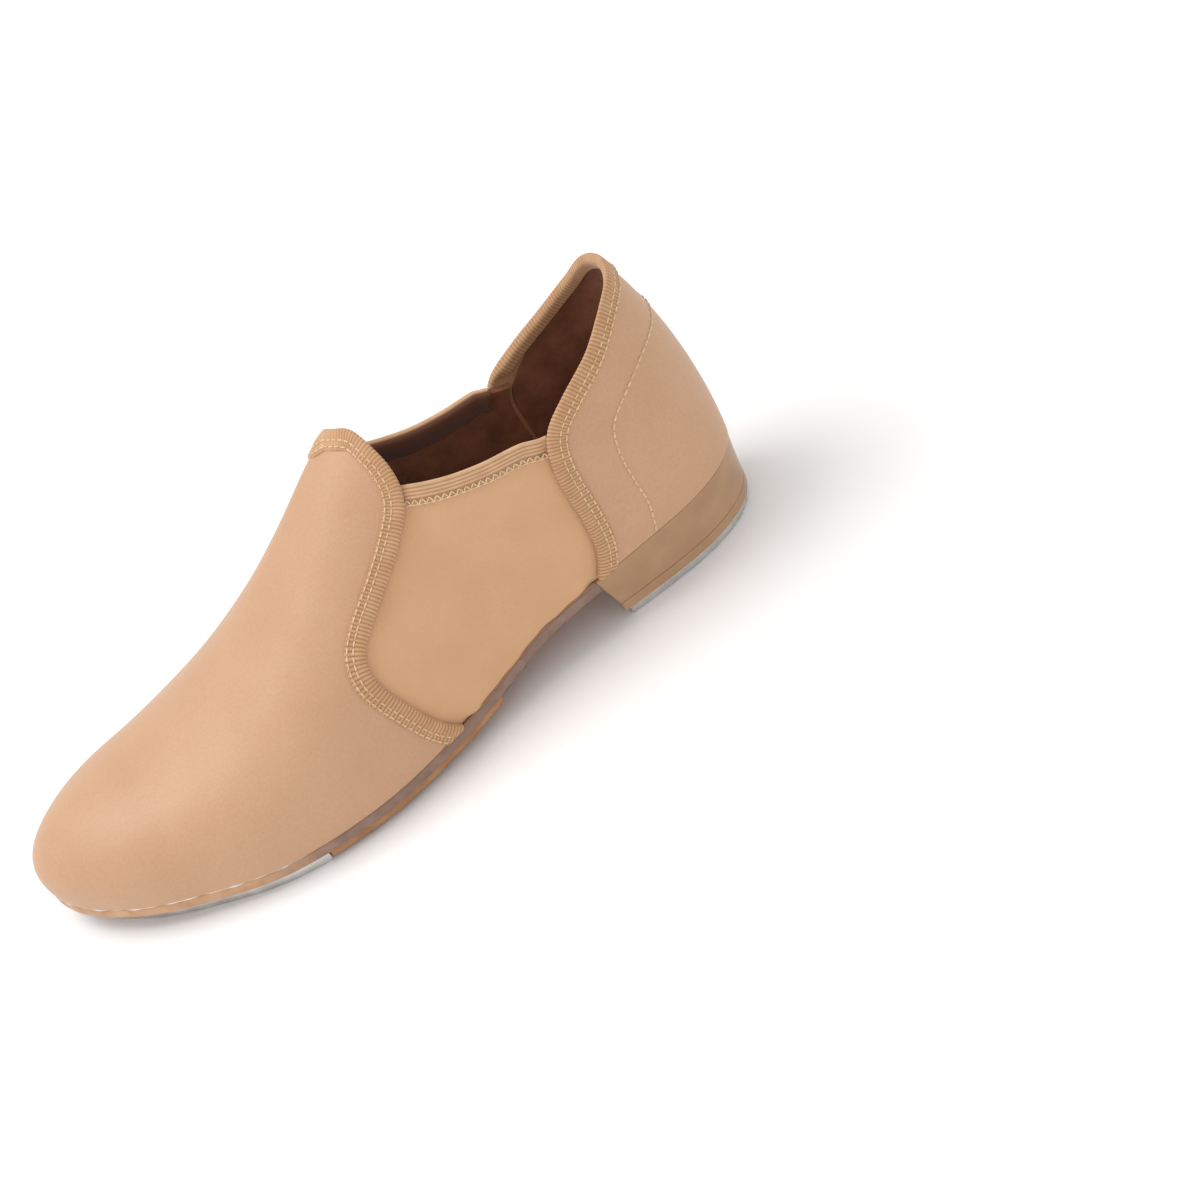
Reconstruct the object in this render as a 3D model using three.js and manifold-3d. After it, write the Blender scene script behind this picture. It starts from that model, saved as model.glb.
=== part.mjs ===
// Slip-on tap shoe, left foot, women's US 8 (EU 38.5). Millimetres.
// X runs from the back of the heel to the toe, Y to the wearer's left (the outer side), Z up.
// The flat faces of both taps lie at Z = 0. The origin is under the middle of the bounding box.
import * as THREE from "three";
import { mergeVertices } from "three/addons/utils/BufferGeometryUtils.js";
import Module from "manifold-3d";

const wasm = await Module();
wasm.setup();

// ---------------------------------------------------------------- driving dimensions
const LENGTH = 259.5; // heel back to toe tip, along the edge of the sole
const WIDTH = 86; // across the ball of the foot
const INSTEP = 100; // height of the top line of the last at the front of the throat
const HEEL_SEAT = 24.5; // height of the heel seat over the floor
const TOE_SPRING = 4.6; // rise of the sole at the toe tip, over its lowest place
const GAP = 0.3; // clearance between pieces that touch
const LAYER_GAP = 0.5; // clearance between layers of the upper

const LEATHER = 1.2; // thickness of the synthetic leather upper
const LINING = 0.6;
const STIFFENER = 0.6; // toe puff and heel counter
const GORE = 1.8; // stretch panel
const TAPE = 0.6; // thickness of the ribbed binding
const TAPE_WIDTH = 5.6; // width of the binding on the outer face
const BAND_WIDTH = 6; // width of the elastic tape on top of each gore
const TUCK = 5; // how far a gore runs under the leather

const SOLE = 4; // outsole thickness
const BOARD = 2; // insole board
const SOCK = 1.5; // sock liner
const PAD = 2.2; // ribbed rubber pad under the ball
const TAP = 3.4; // tap plate
const LIFT = 3.6; // heel lift between block and tap
const SHANK = { from: 66, to: 132, width: 13, thick: 1 };
const SCREW = { head: 6, shaft: 2.8, long: 9.4, sink: 1.7, below: 0.15, slot: 0.8, slotLong: 3.4 };
const NAIL = { head: 4.6, headThick: 0.8, shaft: 1.9, long: 13 };
const SLIT = { wide: 0.9, deep: 1.3 };

const HEEL_BREAST = 62; // front of the heel
const TAP_BACK = 176; // rear edge of the toe tap, at its corners
const TAP_BOW = 6; // how far that edge bows towards the heel

// ---------------------------------------------------------------- shape of the last
// Each list was drawn for a last 259.5 long, 86 wide and 100 high, and is scaled to the sizes above.
const SX = LENGTH / 259.5;
const SY = WIDTH / 86;
const SZ = INSTEP / 100;
// Edge of the sole in plan: round the outer side to the toe, and back along the inner side.
const OUTLINE = [
  [0, 0.5], [6, 15.5], [24, 25.5], [55, 29.8], [88, 31], [122, 40], [155, 46.3], [188, 45],
  [216, 36], [238, 24.7], [255, 7.9], [259.5, -10], [247, -25.7], [226, -35.7], [198, -39.4],
  [166, -36.9], [132, -28.1], [98, -23.2], [62, -24.7], [26, -25.5], [6, -16.4],
];
// Height of the upper's lower edge, along the shoe.
const TREAD = TAP + SOLE + 0.7; // lowest place of that edge, under the ball of the foot
const SEAT = [
  [0, HEEL_SEAT], [45, HEEL_SEAT - 1.2], [75, HEEL_SEAT * 0.8], [105, HEEL_SEAT * 0.53],
  [135, TREAD + 1.1], [165, TREAD], [195, TREAD + 0.2], [225, TREAD + TOE_SPRING * 0.45],
  [260, TREAD + TOE_SPRING],
];
// Height and sideways place of the last's centre line, and the shape of its cross-section.
const RIDGE = [
  [24, 123], [60, 120.5], [85, 109.7], [100, 101.8], [115, 92.4], [135, 77.9], [155, 64],
  [175, 52.6], [195, 44.6], [215, 38.6],
];
const RIDGE_Y = [[26, 2], [100, -6.4], [150, -2.8], [214, -1.3]];
const ROUND_IN = [[24, 0.99], [80, 0.95], [110, 1.05], [150, 0.99], [214, 0.97]];
const ROUND_UP = [[24, 1.06], [80, 1.03], [110, 1.05], [150, 0.89], [214, 0.86]];
const BULGE = [[24, 4.9], [80, 3.3], [130, 2.6], [214, 3.2]];
const RIDGE_FROM = 26;
const RIDGE_TO = 214;

// Edges of the leather: [station along the shoe, share of the way up the side].
// Rear edge of the vamp on each side, from the sole to the middle line of the tongue. The tongue leans
// to the outer side, so its inner corner is cut further forward.
const VAMP_SIDE = [
  [120.5, 0], [125.8, 0.07], [130.6, 0.185], [133.8, 0.285], [134.3, 0.35], [132, 0.405],
  [126, 0.437], [116.8, 0.462],
];
const VAMP_EDGE = {
  1: [...VAMP_SIDE, [106.9, 0.492], [99.2, 0.528], [95.8, 0.575], [95, 0.64], [95.9, 0.72],
    [98.4, 0.845], [102.8, 0.94], [105, 1]],
  [-1]: [...VAMP_SIDE, [107.5, 0.49], [102.6, 0.52], [100.2, 0.562], [101.2, 0.635], [105.4, 0.735],
    [108.4, 0.83], [107.8, 0.925], [105, 1]],
};
// Free edge of the quarter: up the front on the outer side, back along the topline, and down again.
const QUARTER_EDGE = [
  [59.5, 0, 1], [55.2, 0.07, 1], [53.9, 0.16, 1], [53.7, 0.24, 1], [52.6, 0.31, 1],
  [48.6, 0.372, 1], [39.4, 0.42, 1], [28.3, 0.465, 1], [15.4, 0.525, 1], [6, 0.555, 1],
  [0, 0.567, 1], [6, 0.53, -1], [16, 0.465, -1], [30, 0.4, -1], [43, 0.357, -1], [53.5, 0.318, -1],
  [57.6, 0.265, -1], [58.2, 0.2, -1], [58, 0.13, -1], [58.6, 0.06, -1], [61.5, 0, -1],
];
// Top edge of each gore: station and height. It rises with half of what the heel seat does.
const GORE_TOP = { 1: [[40, 77.3], [58.7, 78.3], [71.6, 79.3], [83, 81.2], [95, 85], [110, 92]],
  [-1]: [[46, 69.5], [58, 69.8], [72, 70.8], [84, 73.5], [95, 78.5], [110, 87]] };

const TOE_PUFF_FROM = 206; // rear edge of the toe stiffener
// Edge of the heel counter, from the sole to the middle of the back.
const COUNTER_EDGE = [
  [37.5, 0], [35, 0.08], [34.9, 0.17], [34, 0.245], [30, 0.305], [19, 0.352], [8, 0.38], [0, 0.388],
];
const QUARTER_CORNER = { outer: 0.25, inner: 0.75 }; // the corners' places along the quarter's edge
const BAND_ENDS = { 1: [52.2, 92.6], [-1]: [57.6, 97.4] };
const PAD_BACK = { outer: 105, inner: 114 }; // rear edge of the grip pad
// Cuts across the grip pad: [x, y] of both ends.
const SLITS = [[118, 25, 121.5, 9], [127, 31, 134, -11], [145, 33, 146, -17], [155.5, 33, 157, -21]];
const BREAST_BOW = 5; // how far the front of the heel is hollowed, in plan
const HEEL_TAPER = 2.2; // how far the sides of the heel come in, towards the floor

const COLOUR = { leather: 0xd9b292, gore: 0xd6aa82, tape: 0xc39a74, lining: 0x5a3a28, sole: 0x9b6745,
  pad: 0xb0825b, heel: 0xa27f63, metal: 0xd4d2cf, steel: 0x8c8c8c, board: 0xb59b78, stiff: 0xe6e0d2 };

// ---------------------------------------------------------------- curves and tables
// Smooth curve through a table of [x, value].
function table(rows, x) {
  const last = rows.length - 1;
  const at = THREE.MathUtils.clamp(x, rows[0][0], rows[last][0]);
  let i = 0;
  while (i < last - 1 && at >= rows[i + 1][0]) i += 1;
  const slope = (k) => {
    const a = rows[Math.max(k - 1, 0)], b = rows[Math.min(k + 1, last)];
    return (b[1] - a[1]) / (b[0] - a[0]);
  };
  const [x0, y0] = rows[i], [x1, y1] = rows[i + 1];
  const h = x1 - x0, s = (at - x0) / h, r = 1 - s;
  return (1 + 2 * s) * r * r * y0 + s * r * r * h * slope(i)
    + s * s * (3 - 2 * s) * y1 - s * s * r * h * slope(i + 1);
}

// A list of points as a smooth open curve with parameter 0 to 1.
function splineOf(points) {
  const curve = new THREE.CatmullRomCurve3(
    points.map((p) => new THREE.Vector3(p[0], p[1], p[2] || 0)), false, "catmullrom", 0.5);
  return (s) => curve.getPoint(s);
}

const outlineCurve = new THREE.CatmullRomCurve3(
  OUTLINE.map(([x, y]) => new THREE.Vector3(x * SX, y * SY, 0)), true, "catmullrom", 0.5);

// Turn parameter of the toe tip, where the outline stops going forward.
const TIP = (() => {
  let low = 10 / 21, high = 12 / 21;
  while (high - low > 1e-7) {
    const a = low + (high - low) / 3, b = high - (high - low) / 3;
    if (outlineCurve.getPoint(a).x < outlineCurve.getPoint(b).x) low = a;
    else high = b;
  }
  return (low + high) / 2;
})();
const TIP_X = outlineCurve.getPoint(TIP).x;

// Parameter of the outline at station x, on the outer (+1) or inner (-1) side.
function turnAt(x, side) {
  if (x >= TIP_X) return TIP;
  let low = side > 0 ? 0 : 1, high = TIP;
  for (let k = 0; k < 40; k += 1) {
    const mid = (low + high) / 2;
    if (outlineCurve.getPoint(mid).x < x) low = mid;
    else high = mid;
  }
  return (low + high) / 2;
}

// Point of the outline, moved inwards by inset.
function outlineAt(turn, inset = 0) {
  const t = ((turn % 1) + 1) % 1;
  const p = outlineCurve.getPoint(t), d = outlineCurve.getTangent(t);
  return new THREE.Vector2(p.x + d.y * inset, p.y - d.x * inset);
}

// Smooth limit: follows x between low and high, and levels off at both.
function level(x, low, high) {
  const round = 8;
  const up = low + ((x - low) + Math.hypot(x - low, round)) / 2;
  return THREE.MathUtils.clamp(high - ((high - up) + Math.hypot(high - up, round)) / 2, low, high);
}

const seatAt = (x) => table(SEAT, x / SX);

// The last: turn goes round the outline, share from the sole (0) to the centre line (1), and depth is
// the distance inside the outer face of the leather.
function last(turn, share, depth = 0) {
  const outer = outlineAt(turn), edge = outlineAt(turn, depth);
  const station = level(outer.x / SX, RIDGE_FROM, RIDGE_TO);
  const midX = station * SX, midY = table(RIDGE_Y, station) * SY;
  const seat = seatAt(outer.x) + GAP;
  const rise = table(RIDGE, station) * SZ - depth - seat;
  const a = THREE.MathUtils.clamp(share, 0, 1) * Math.PI / 2;
  const bulge = table(BULGE, station) * Math.sin(2 * a) * Math.exp(-2.4 * a / Math.PI);
  const reach = Math.hypot(midX - edge.x, midY - edge.y);
  const inwards = 1 - Math.cos(a) ** table(ROUND_IN, station) - bulge / reach;
  return new THREE.Vector3(edge.x + (midX - edge.x) * inwards, edge.y + (midY - edge.y) * inwards,
    seat + rise * Math.sin(a) ** table(ROUND_UP, station));
}

// The same by station, with cross 0 to 1 up the outer side and 1 to 2 down the inner side.
function lastAcross(x, cross, depth = 0) {
  return last(turnAt(x, cross <= 1 ? 1 : -1), cross <= 1 ? cross : 2 - cross, depth);
}

// Share at which the last reaches a height.
function shareAt(turn, height) {
  const outer = outlineAt(turn), station = level(outer.x / SX, RIDGE_FROM, RIDGE_TO);
  const seat = seatAt(outer.x) + GAP, rise = table(RIDGE, station) * SZ - seat;
  const part = THREE.MathUtils.clamp((height - seat) / rise, 0, 1);
  return Math.asin(part ** (1 / table(ROUND_UP, station))) * 2 / Math.PI;
}

// ---------------------------------------------------------------- mesh building
// Closed mesh from triangles given as corner points. Triangles that have shrunk to a line are dropped.
function closedMesh(triangles) {
  const raw = new THREE.BufferGeometry();
  raw.setAttribute("position", new THREE.Float32BufferAttribute(
    triangles.flatMap((t) => t.flatMap((p) => [p.x, p.y, p.z])), 3));
  const merged = mergeVertices(raw, 2e-3);
  const kept = [];
  const index = merged.index.array;
  for (let i = 0; i < index.length; i += 3) {
    const [a, b, c] = index.slice(i, i + 3);
    if (a !== b && b !== c && c !== a) kept.push(a, b, c);
  }
  merged.setIndex(kept);
  return merged;
}

// Solid between two grids of points, outer[i][j] and inner[i][j]. A side listed as joined has no wall,
// because its points meet in pairs.
function shell(outer, inner, joined = []) {
  const rows = outer.length - 1, cols = outer[0].length - 1, out = [];
  const quad = (a, b, c, d) => out.push([a, b, c], [a, c, d]);
  for (let i = 0; i < rows; i += 1) {
    for (let j = 0; j < cols; j += 1) {
      quad(outer[i][j], outer[i + 1][j], outer[i + 1][j + 1], outer[i][j + 1]);
      quad(inner[i][j], inner[i][j + 1], inner[i + 1][j + 1], inner[i + 1][j]);
    }
  }
  for (let i = 0; i < rows; i += 1) {
    if (!joined.includes("left")) quad(outer[i][0], inner[i][0], inner[i + 1][0], outer[i + 1][0]);
    if (!joined.includes("right")) {
      quad(outer[i][cols], outer[i + 1][cols], inner[i + 1][cols], inner[i][cols]);
    }
  }
  for (let j = 0; j < cols; j += 1) {
    if (!joined.includes("start")) quad(outer[0][j], outer[0][j + 1], inner[0][j + 1], inner[0][j]);
    if (!joined.includes("end")) {
      quad(outer[rows][j], inner[rows][j], inner[rows][j + 1], outer[rows][j + 1]);
    }
  }
  return closedMesh(out);
}

const grid = (rows, cols, at) => Array.from({ length: rows + 1 }, (_, i) =>
  Array.from({ length: cols + 1 }, (__, j) => at(i / rows, j / cols)));

// Turn a geometry right side out.
function outwards(geometry) {
  const p = geometry.attributes.position, index = geometry.index.array;
  const [a, b, c] = [new THREE.Vector3(), new THREE.Vector3(), new THREE.Vector3()];
  let volume = 0;
  for (let i = 0; i < index.length; i += 3) {
    a.fromBufferAttribute(p, index[i]);
    b.fromBufferAttribute(p, index[i + 1]);
    c.fromBufferAttribute(p, index[i + 2]);
    volume += a.dot(b.cross(c));
  }
  if (volume < 0) geometry.setIndex(Array.from(index).reverse());
  return geometry;
}

const surface = (rows, cols, at, depths, joined) => outwards(shell(
  grid(rows, cols, (s, q) => at(s, q, depths[0])),
  grid(rows, cols, (s, q) => at(s, q, depths[1])), joined));

// Boolean work: geometries in, geometry out.
function solid(geometry) {
  const bare = geometry.clone();
  bare.deleteAttribute("normal");
  bare.deleteAttribute("uv");
  const merged = mergeVertices(bare, 1e-4);
  return new wasm.Manifold(new wasm.Mesh({ numProp: 3,
    vertProperties: merged.attributes.position.array,
    triVerts: new Uint32Array(merged.index.array) }));
}

function cut(geometry, tools) {
  const made = tools.reduce((body, tool) => body.subtract(solid(tool)), solid(geometry)).getMesh();
  return new THREE.BufferGeometry()
    .setAttribute("position", new THREE.BufferAttribute(made.vertProperties, 3))
    .setIndex(new THREE.BufferAttribute(made.triVerts, 1));
}

const shoe = new THREE.Group();
function add(name, geometry, colour, roughness = 0.6, metalness = 0) {
  geometry.computeVertexNormals();
  const mesh = new THREE.Mesh(geometry,
    new THREE.MeshStandardMaterial({ color: colour, roughness, metalness, flatShading: true }));
  mesh.name = name;
  shoe.add(mesh);
}

// ---------------------------------------------------------------- depths of the layers
const LEATHER_LAYER = [0, LEATHER];
const MIDDLE = LEATHER + LAYER_GAP;
const STIFF_LAYER = [MIDDLE, MIDDLE + STIFFENER];
const LINING_FACE = MIDDLE + STIFFENER + LAYER_GAP;
const LINING_LAYER = [LINING_FACE, LINING_FACE + LINING];
const GORE_LAYER = [MIDDLE, MIDDLE + GORE];
const BOARD_INSET = MIDDLE + GORE + 2 * GAP; // the board lies inside every layer of the upper
const BOARD_TOP = GAP + BOARD; // over the seat

// ---------------------------------------------------------------- edges and tapes
// Steps off an edge into the leather: gives the place on the last at a distance from the edge at q.
// The flip is 1 or -1, for the side of the edge on which the leather lies.
function stepIn(place, curve, q, flip) {
  const h = 1e-3, c = curve(q);
  const before = curve(Math.max(q - h, 0)), after = curve(Math.min(q + h, 1));
  const along = place(after.x, after.y, 0).sub(place(before.x, before.y, 0)).normalize();
  const low = Math.max(c.y - h, 0);
  const du = place(c.x + h, c.y, 0).sub(place(c.x - h, c.y, 0)).divideScalar(2 * h);
  const dv = place(c.x, c.y + h, 0).sub(place(c.x, low, 0)).divideScalar(c.y + h - low);
  const across = new THREE.Vector3().crossVectors(du, dv).normalize().cross(along).multiplyScalar(flip);
  const uu = du.dot(du), uv = du.dot(dv), vv = dv.dot(dv), det = uu * vv - uv * uv;
  const pu = du.dot(across), pv = dv.dot(across);
  const u = (pu * vv - pv * uv) / det, v = (pv * uu - pu * uv) / det;
  return (distance) => new THREE.Vector2(c.x + u * distance, c.y + v * distance);
}

// Tape along an edge. The section is a list of [distance in from the edge, depth].
function ribbon(place, curve, steps, section, flip) {
  const rings = Array.from({ length: steps + 1 }, (_, k) => {
    const step = stepIn(place, curve, k / steps, flip);
    return section.map(([inset, depth]) => {
      const p = step(inset);
      return place(p.x, p.y, depth);
    });
  });
  return outwards(tube(rings, section));
}

// Closed body through rings of points, with both ends capped.
function tube(rings, section) {
  const n = section.length, out = [];
  for (let k = 0; k < rings.length - 1; k += 1) {
    for (let i = 0; i < n; i += 1) {
      const j = (i + 1) % n, [a, b] = [rings[k], rings[k + 1]];
      out.push([a[i], b[i], b[j]], [a[i], b[j], a[j]]);
    }
  }
  const flat = section.map(([x, y]) => new THREE.Vector2(x, y));
  const ccw = THREE.ShapeUtils.area(flat) > 0;
  const end = rings[rings.length - 1];
  for (const face of THREE.ShapeUtils.triangulateShape(flat, [])) {
    const [a, b, c] = ccw ? face : [...face].reverse();
    out.push([rings[0][a], rings[0][b], rings[0][c]], [end[a], end[c], end[b]]);
  }
  return closedMesh(out);
}

// Section of a tape folded over an edge: a wide leg outside, and a wall round the edge to a depth.
const folded = (width, outside, wall) => [
  [width, outside - TAPE], [width / 2, outside - TAPE], [-GAP - TAPE, outside - TAPE],
  [-GAP - TAPE, wall], [-GAP, wall], [-GAP, outside], [width / 2, outside], [width, outside],
];

// ---------------------------------------------------------------- vamp and its lining
const vampEdge = { 1: splineOf(VAMP_EDGE[1]), [-1]: splineOf(VAMP_EDGE[-1]) };
const VAMP_STEPS = 48; // facets along the edges that the bindings share with the leather
const QUARTER_STEPS = 56;
const GORE_CORNER = 0.69; // place along the vamp's edge where the gore's top meets it

// The vamp's edge on one side, moved forward by a distance.
const onSide = (side) => (x, share, depth) => last(turnAt(x, side), share, depth);
const vampInset = (side, q, distance) => stepIn(onSide(side),
  (p) => vampEdge[side](p).multiply(new THREE.Vector2(SX, 1)), q, -1)(distance);

// Sheet over the forefoot, from the vamp's rear edge moved forward by margin(q), to the toe.
function forefoot(rows, cols, depths, margin) {
  const at = (s, q, depth) => {
    const side = q <= 0.5 ? 1 : -1, up = q <= 0.5 ? q * 2 : 2 - q * 2;
    const edge = up === 1 ? new THREE.Vector2(VAMP_EDGE[1].at(-1)[0] * SX + margin(1), 1)
      : vampInset(side, up, margin(up));
    const x = THREE.MathUtils.lerp(edge.x, TIP_X, 1 - (1 - s) ** 1.7);
    const calm = THREE.MathUtils.smoothstep(s, 0, 0.8);
    return last(s === 1 ? TIP : turnAt(x, side), THREE.MathUtils.lerp(edge.y, up, calm), depth);
  };
  return surface(rows, cols, at, depths, ["end"]);
}

add("vamp", forefoot(16, VAMP_STEPS, LEATHER_LAYER, () => 0), COLOUR.leather, 0.5);

// The lining stops short of the gores, and runs up under the binding at the tongue.
const clearOfGore = (q) => THREE.MathUtils.lerp(TUCK + 3, 1,
  THREE.MathUtils.smoothstep(q, GORE_CORNER + 0.14, GORE_CORNER + 0.27));
add("vamp_lining", forefoot(10, 26, LINING_LAYER, clearOfGore), COLOUR.lining, 0.95);

// The stiffener caps the toe.
function toeCap(rows, cols, depths, from) {
  const at = (s, q, depth) => {
    const x = THREE.MathUtils.lerp(from * SX, TIP_X, 1 - (1 - s) ** 2);
    return last(s === 1 ? TIP : turnAt(x, q <= 0.5 ? 1 : -1), q <= 0.5 ? q * 2 : 2 - q * 2, depth);
  };
  return surface(rows, cols, at, depths, ["end"]);
}
add("toe_puff", toeCap(7, 20, STIFF_LAYER, TOE_PUFF_FROM), COLOUR.stiff, 0.8);

// ---------------------------------------------------------------- quarter and its layers
// An edge as [turn, share]: turns run from the outer side (above 0) past the heel (0) to the inner side.
const edgeRoundHeel = (rows) => splineOf(rows.map(([x, share, side]) => {
  const turn = turnAt(x * SX, side);
  return [x === 0 ? 0 : side > 0 ? turn : turn - 1, share];
}));
const quarterEdge = edgeRoundHeel(QUARTER_EDGE);
const counterEdge = edgeRoundHeel([...COUNTER_EDGE.map(([x, share]) => [x, share, 1]),
  ...COUNTER_EDGE.slice(0, -1).reverse().map(([x, share]) => [x, share, -1])]);

// Sheet round the heel, ruled from the sole up to an edge.
function rearfoot(cols, rows, depths, edge) {
  const first = edge(0).x, final = edge(1).x;
  const at = (q, s, depth) => {
    const top = edge(q), foot = THREE.MathUtils.lerp(first, final, q);
    return last(THREE.MathUtils.lerp(foot, top.x, s), top.y * s, depth);
  };
  return surface(cols, rows, at, depths, []);
}

// The lining's edge: short of the gores at both ends, and just under the topline between them.
function liningEdge(q) {
  const ends = THREE.MathUtils.smoothstep(Math.min(q, 1 - q), 0.25, 0.36);
  return stepIn(last, quarterEdge, q, 1)(THREE.MathUtils.lerp(TUCK + 1.5, 1, ends));
}

add("quarter", rearfoot(QUARTER_STEPS, 7, LEATHER_LAYER, quarterEdge), COLOUR.leather, 0.5);
add("quarter_lining", rearfoot(QUARTER_STEPS, 8, LINING_LAYER, liningEdge), COLOUR.lining, 0.95);
add("heel_counter", rearfoot(44, 8, STIFF_LAYER, counterEdge), COLOUR.stiff, 0.8);

// ---------------------------------------------------------------- gores
const goreTop = (side, x) => shareAt(turnAt(x, side),
  table(GORE_TOP[side], x / SX) * SZ + (HEEL_SEAT - 24.5) / 2);

// Stretch panel between the quarter and the vamp. Its front and rear edges run under the leather.
function gore(side) {
  const corner = side > 0 ? QUARTER_CORNER.outer : QUARTER_CORNER.inner;
  const rear = (q) => {
    const edge = stepIn(last, quarterEdge, side > 0 ? q * corner : 1 - q * (1 - corner), 1)(TUCK);
    return new THREE.Vector2(outlineAt(edge.x).x, edge.y);
  };
  const front = (q) => vampInset(side, q * GORE_CORNER, TUCK);
  const [rearTop, frontTop] = [rear(1), front(1)];
  const at = (s, q, depth) => {
    const a = rear(q), b = front(q);
    const topX = THREE.MathUtils.lerp(rearTop.x, frontTop.x, s);
    const top = goreTop(side, topX);
    const share = (1 - s) * (a.y - q * rearTop.y) + s * (b.y - q * frontTop.y) + q * top;
    return last(turnAt(THREE.MathUtils.lerp(a.x, b.x, s), side), share, depth);
  };
  return surface(10, VAMP_STEPS / 3, at, GORE_LAYER, []);
}
add("gore_outer", gore(1), COLOUR.gore, 0.7);
add("gore_inner", gore(-1), COLOUR.gore, 0.7);

// ---------------------------------------------------------------- tapes
// Section of a tape folded over an edge: a wide leg outside, and a wall round the edge to a depth.
const vampTrack = (q) => {
  const edge = q <= 0.5 ? vampEdge[1](q * 2) : vampEdge[-1](2 - q * 2);
  return new THREE.Vector2(edge.x * SX, q <= 0.5 ? edge.y : 2 - edge.y);
};
add("vamp_binding", ribbon(lastAcross, vampTrack, VAMP_STEPS, folded(TAPE_WIDTH, -LAYER_GAP, LEATHER), -1),
  COLOUR.tape, 0.9);
add("quarter_binding", ribbon(last, quarterEdge, QUARTER_STEPS, folded(TAPE_WIDTH, -LAYER_GAP, LEATHER), 1),
  COLOUR.tape, 0.9);

// Elastic band over the top edge of a gore, between the two bindings.
function goreBand(side) {
  const track = (q) => {
    const x = THREE.MathUtils.lerp(BAND_ENDS[side][0], BAND_ENDS[side][1], q) * SX;
    return new THREE.Vector2(x, goreTop(side, x));
  };
  return ribbon(onSide(side), track, 10, folded(BAND_WIDTH, MIDDLE - GAP, MIDDLE + GORE), -1);
}
add("gore_band_outer", goreBand(1), COLOUR.tape, 0.9);
add("gore_band_inner", goreBand(-1), COLOUR.tape, 0.9);

// ---------------------------------------------------------------- sole
// Flat piece that follows the sole: from the rear line to the front line, inset from the outline, and
// between two heights over the seat.
function slab(rows, cols, from, to, inset, top, bottom) {
  const at = (s, q, height) => {
    const rear = from(q), front = to(q);
    const tip = front >= TIP_X;
    const x = THREE.MathUtils.lerp(rear, front, tip ? 1 - (1 - s) ** 1.6 : s);
    const closed = tip && s === 1 ? TIP : null;
    const outer = outlineAt(closed ?? turnAt(x, 1), inset), inner = outlineAt(closed ?? turnAt(x, -1), inset);
    const p = inner.lerp(outer, q);
    return new THREE.Vector3(p.x, p.y, seatAt(p.x) + height);
  };
  return surface(rows, cols, at, [top, bottom], to(0.5) >= TIP_X ? ["end"] : []);
}

// Strip along the middle of the sole.
function strip(from, to, width, top, bottom) {
  const at = (s, q, height) => {
    const x = THREE.MathUtils.lerp(from, to, s) * SX;
    const middle = (outlineAt(turnAt(x, 1)).y + outlineAt(turnAt(x, -1)).y) / 2;
    return new THREE.Vector3(x, middle + (q - 0.5) * width, seatAt(x) + height);
  };
  return surface(10, 1, at, [top, bottom], []);
}

// Solid of revolution about Z, from a profile of [radius, height].
const turned = (profile, sides = 14) => outwards(mergeVertices(stripped(new THREE.LatheGeometry(
  profile.map(([r, z]) => new THREE.Vector2(r, z)), sides).rotateX(Math.PI / 2)), 1e-4));

function stripped(geometry) {
  geometry.deleteAttribute("normal");
  geometry.deleteAttribute("uv");
  return geometry;
}

// Countersunk screw, head down at the face of a tap. Grown by a clearance it is its own hole.
function screwBody(grow) {
  const r = SCREW.head / 2 + grow, shaft = SCREW.shaft / 2 + grow;
  const face = grow > 0 ? -1 : SCREW.below;
  return turned([[0, face], [r, face], [r, SCREW.below + 0.3], [shaft, SCREW.below + 0.3 + SCREW.sink],
    [shaft, SCREW.long - 1.2], [0.3 + grow, SCREW.long + grow], [0, SCREW.long + grow]]);
}

function screw() {
  const deep = 1.1;
  const slots = [0, Math.PI / 2].map((turn) => new THREE.BoxGeometry(SCREW.slotLong, SCREW.slot, deep * 2)
    .rotateZ(turn + 0.4).translate(0, 0, SCREW.below));
  return cut(screwBody(0), slots);
}

const TOE_SCREWS = [[189, 35.5], [184, -29], [243, -6]].map(([x, y]) => [x * SX, y * SY]);
const HEEL_SCREWS = [[14, 0.5], [46, 16.5], [46, -14.5]].map(([x, y]) => [x * SX, y * SY]);
const NAILS = [[12, 9], [12, -8.5], [38, 15], [38, -14.5]].map(([x, y]) => [x * SX, y * SY]);

const screwHoles = (places) => places.map(([x, y]) => screwBody(GAP).translate(x, y, 0));

function nailBody(grow) {
  const head = NAIL.head / 2 + grow, shaft = NAIL.shaft / 2 + grow, top = grow > 0 ? 1 : 0;
  return turned([[0, -NAIL.long - grow], [0.25 + grow, -NAIL.long - grow], [shaft, -NAIL.long + 1.6],
    [shaft, -NAIL.headThick - grow], [head, -NAIL.headThick - grow], [head, top], [0, top]], 9);
}
const nailTop = (x) => seatAt(x) + BOARD_TOP;
const nailHoles = NAILS.map(([x, y]) => nailBody(GAP).translate(x, y, nailTop(x)));

const toTip = () => TIP_X;
const heelBack = () => 0.3;
const breast = (q, lean = 0) => (HEEL_BREAST - lean) * SX - BREAST_BOW * (1 - (2 * q - 1) ** 2);

const insoleBoard = slab(18, 2, heelBack, toTip, BOARD_INSET, BOARD_TOP, GAP);
add("insole_board", cut(insoleBoard, [...nailHoles, ...screwHoles(TOE_SCREWS)]), COLOUR.board, 0.9);
add("sock_liner", slab(18, 2, heelBack, toTip, BOARD_INSET, BOARD_TOP + GAP + SOCK, BOARD_TOP + GAP),
  COLOUR.lining, 0.95);
add("shank", strip(SHANK.from, SHANK.to, SHANK.width, 0, -SHANK.thick), COLOUR.steel, 0.4, 0.9);
const shankBed = strip(SHANK.from - GAP, SHANK.to + GAP, SHANK.width + 2 * GAP, 1, -SHANK.thick - GAP);

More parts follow.
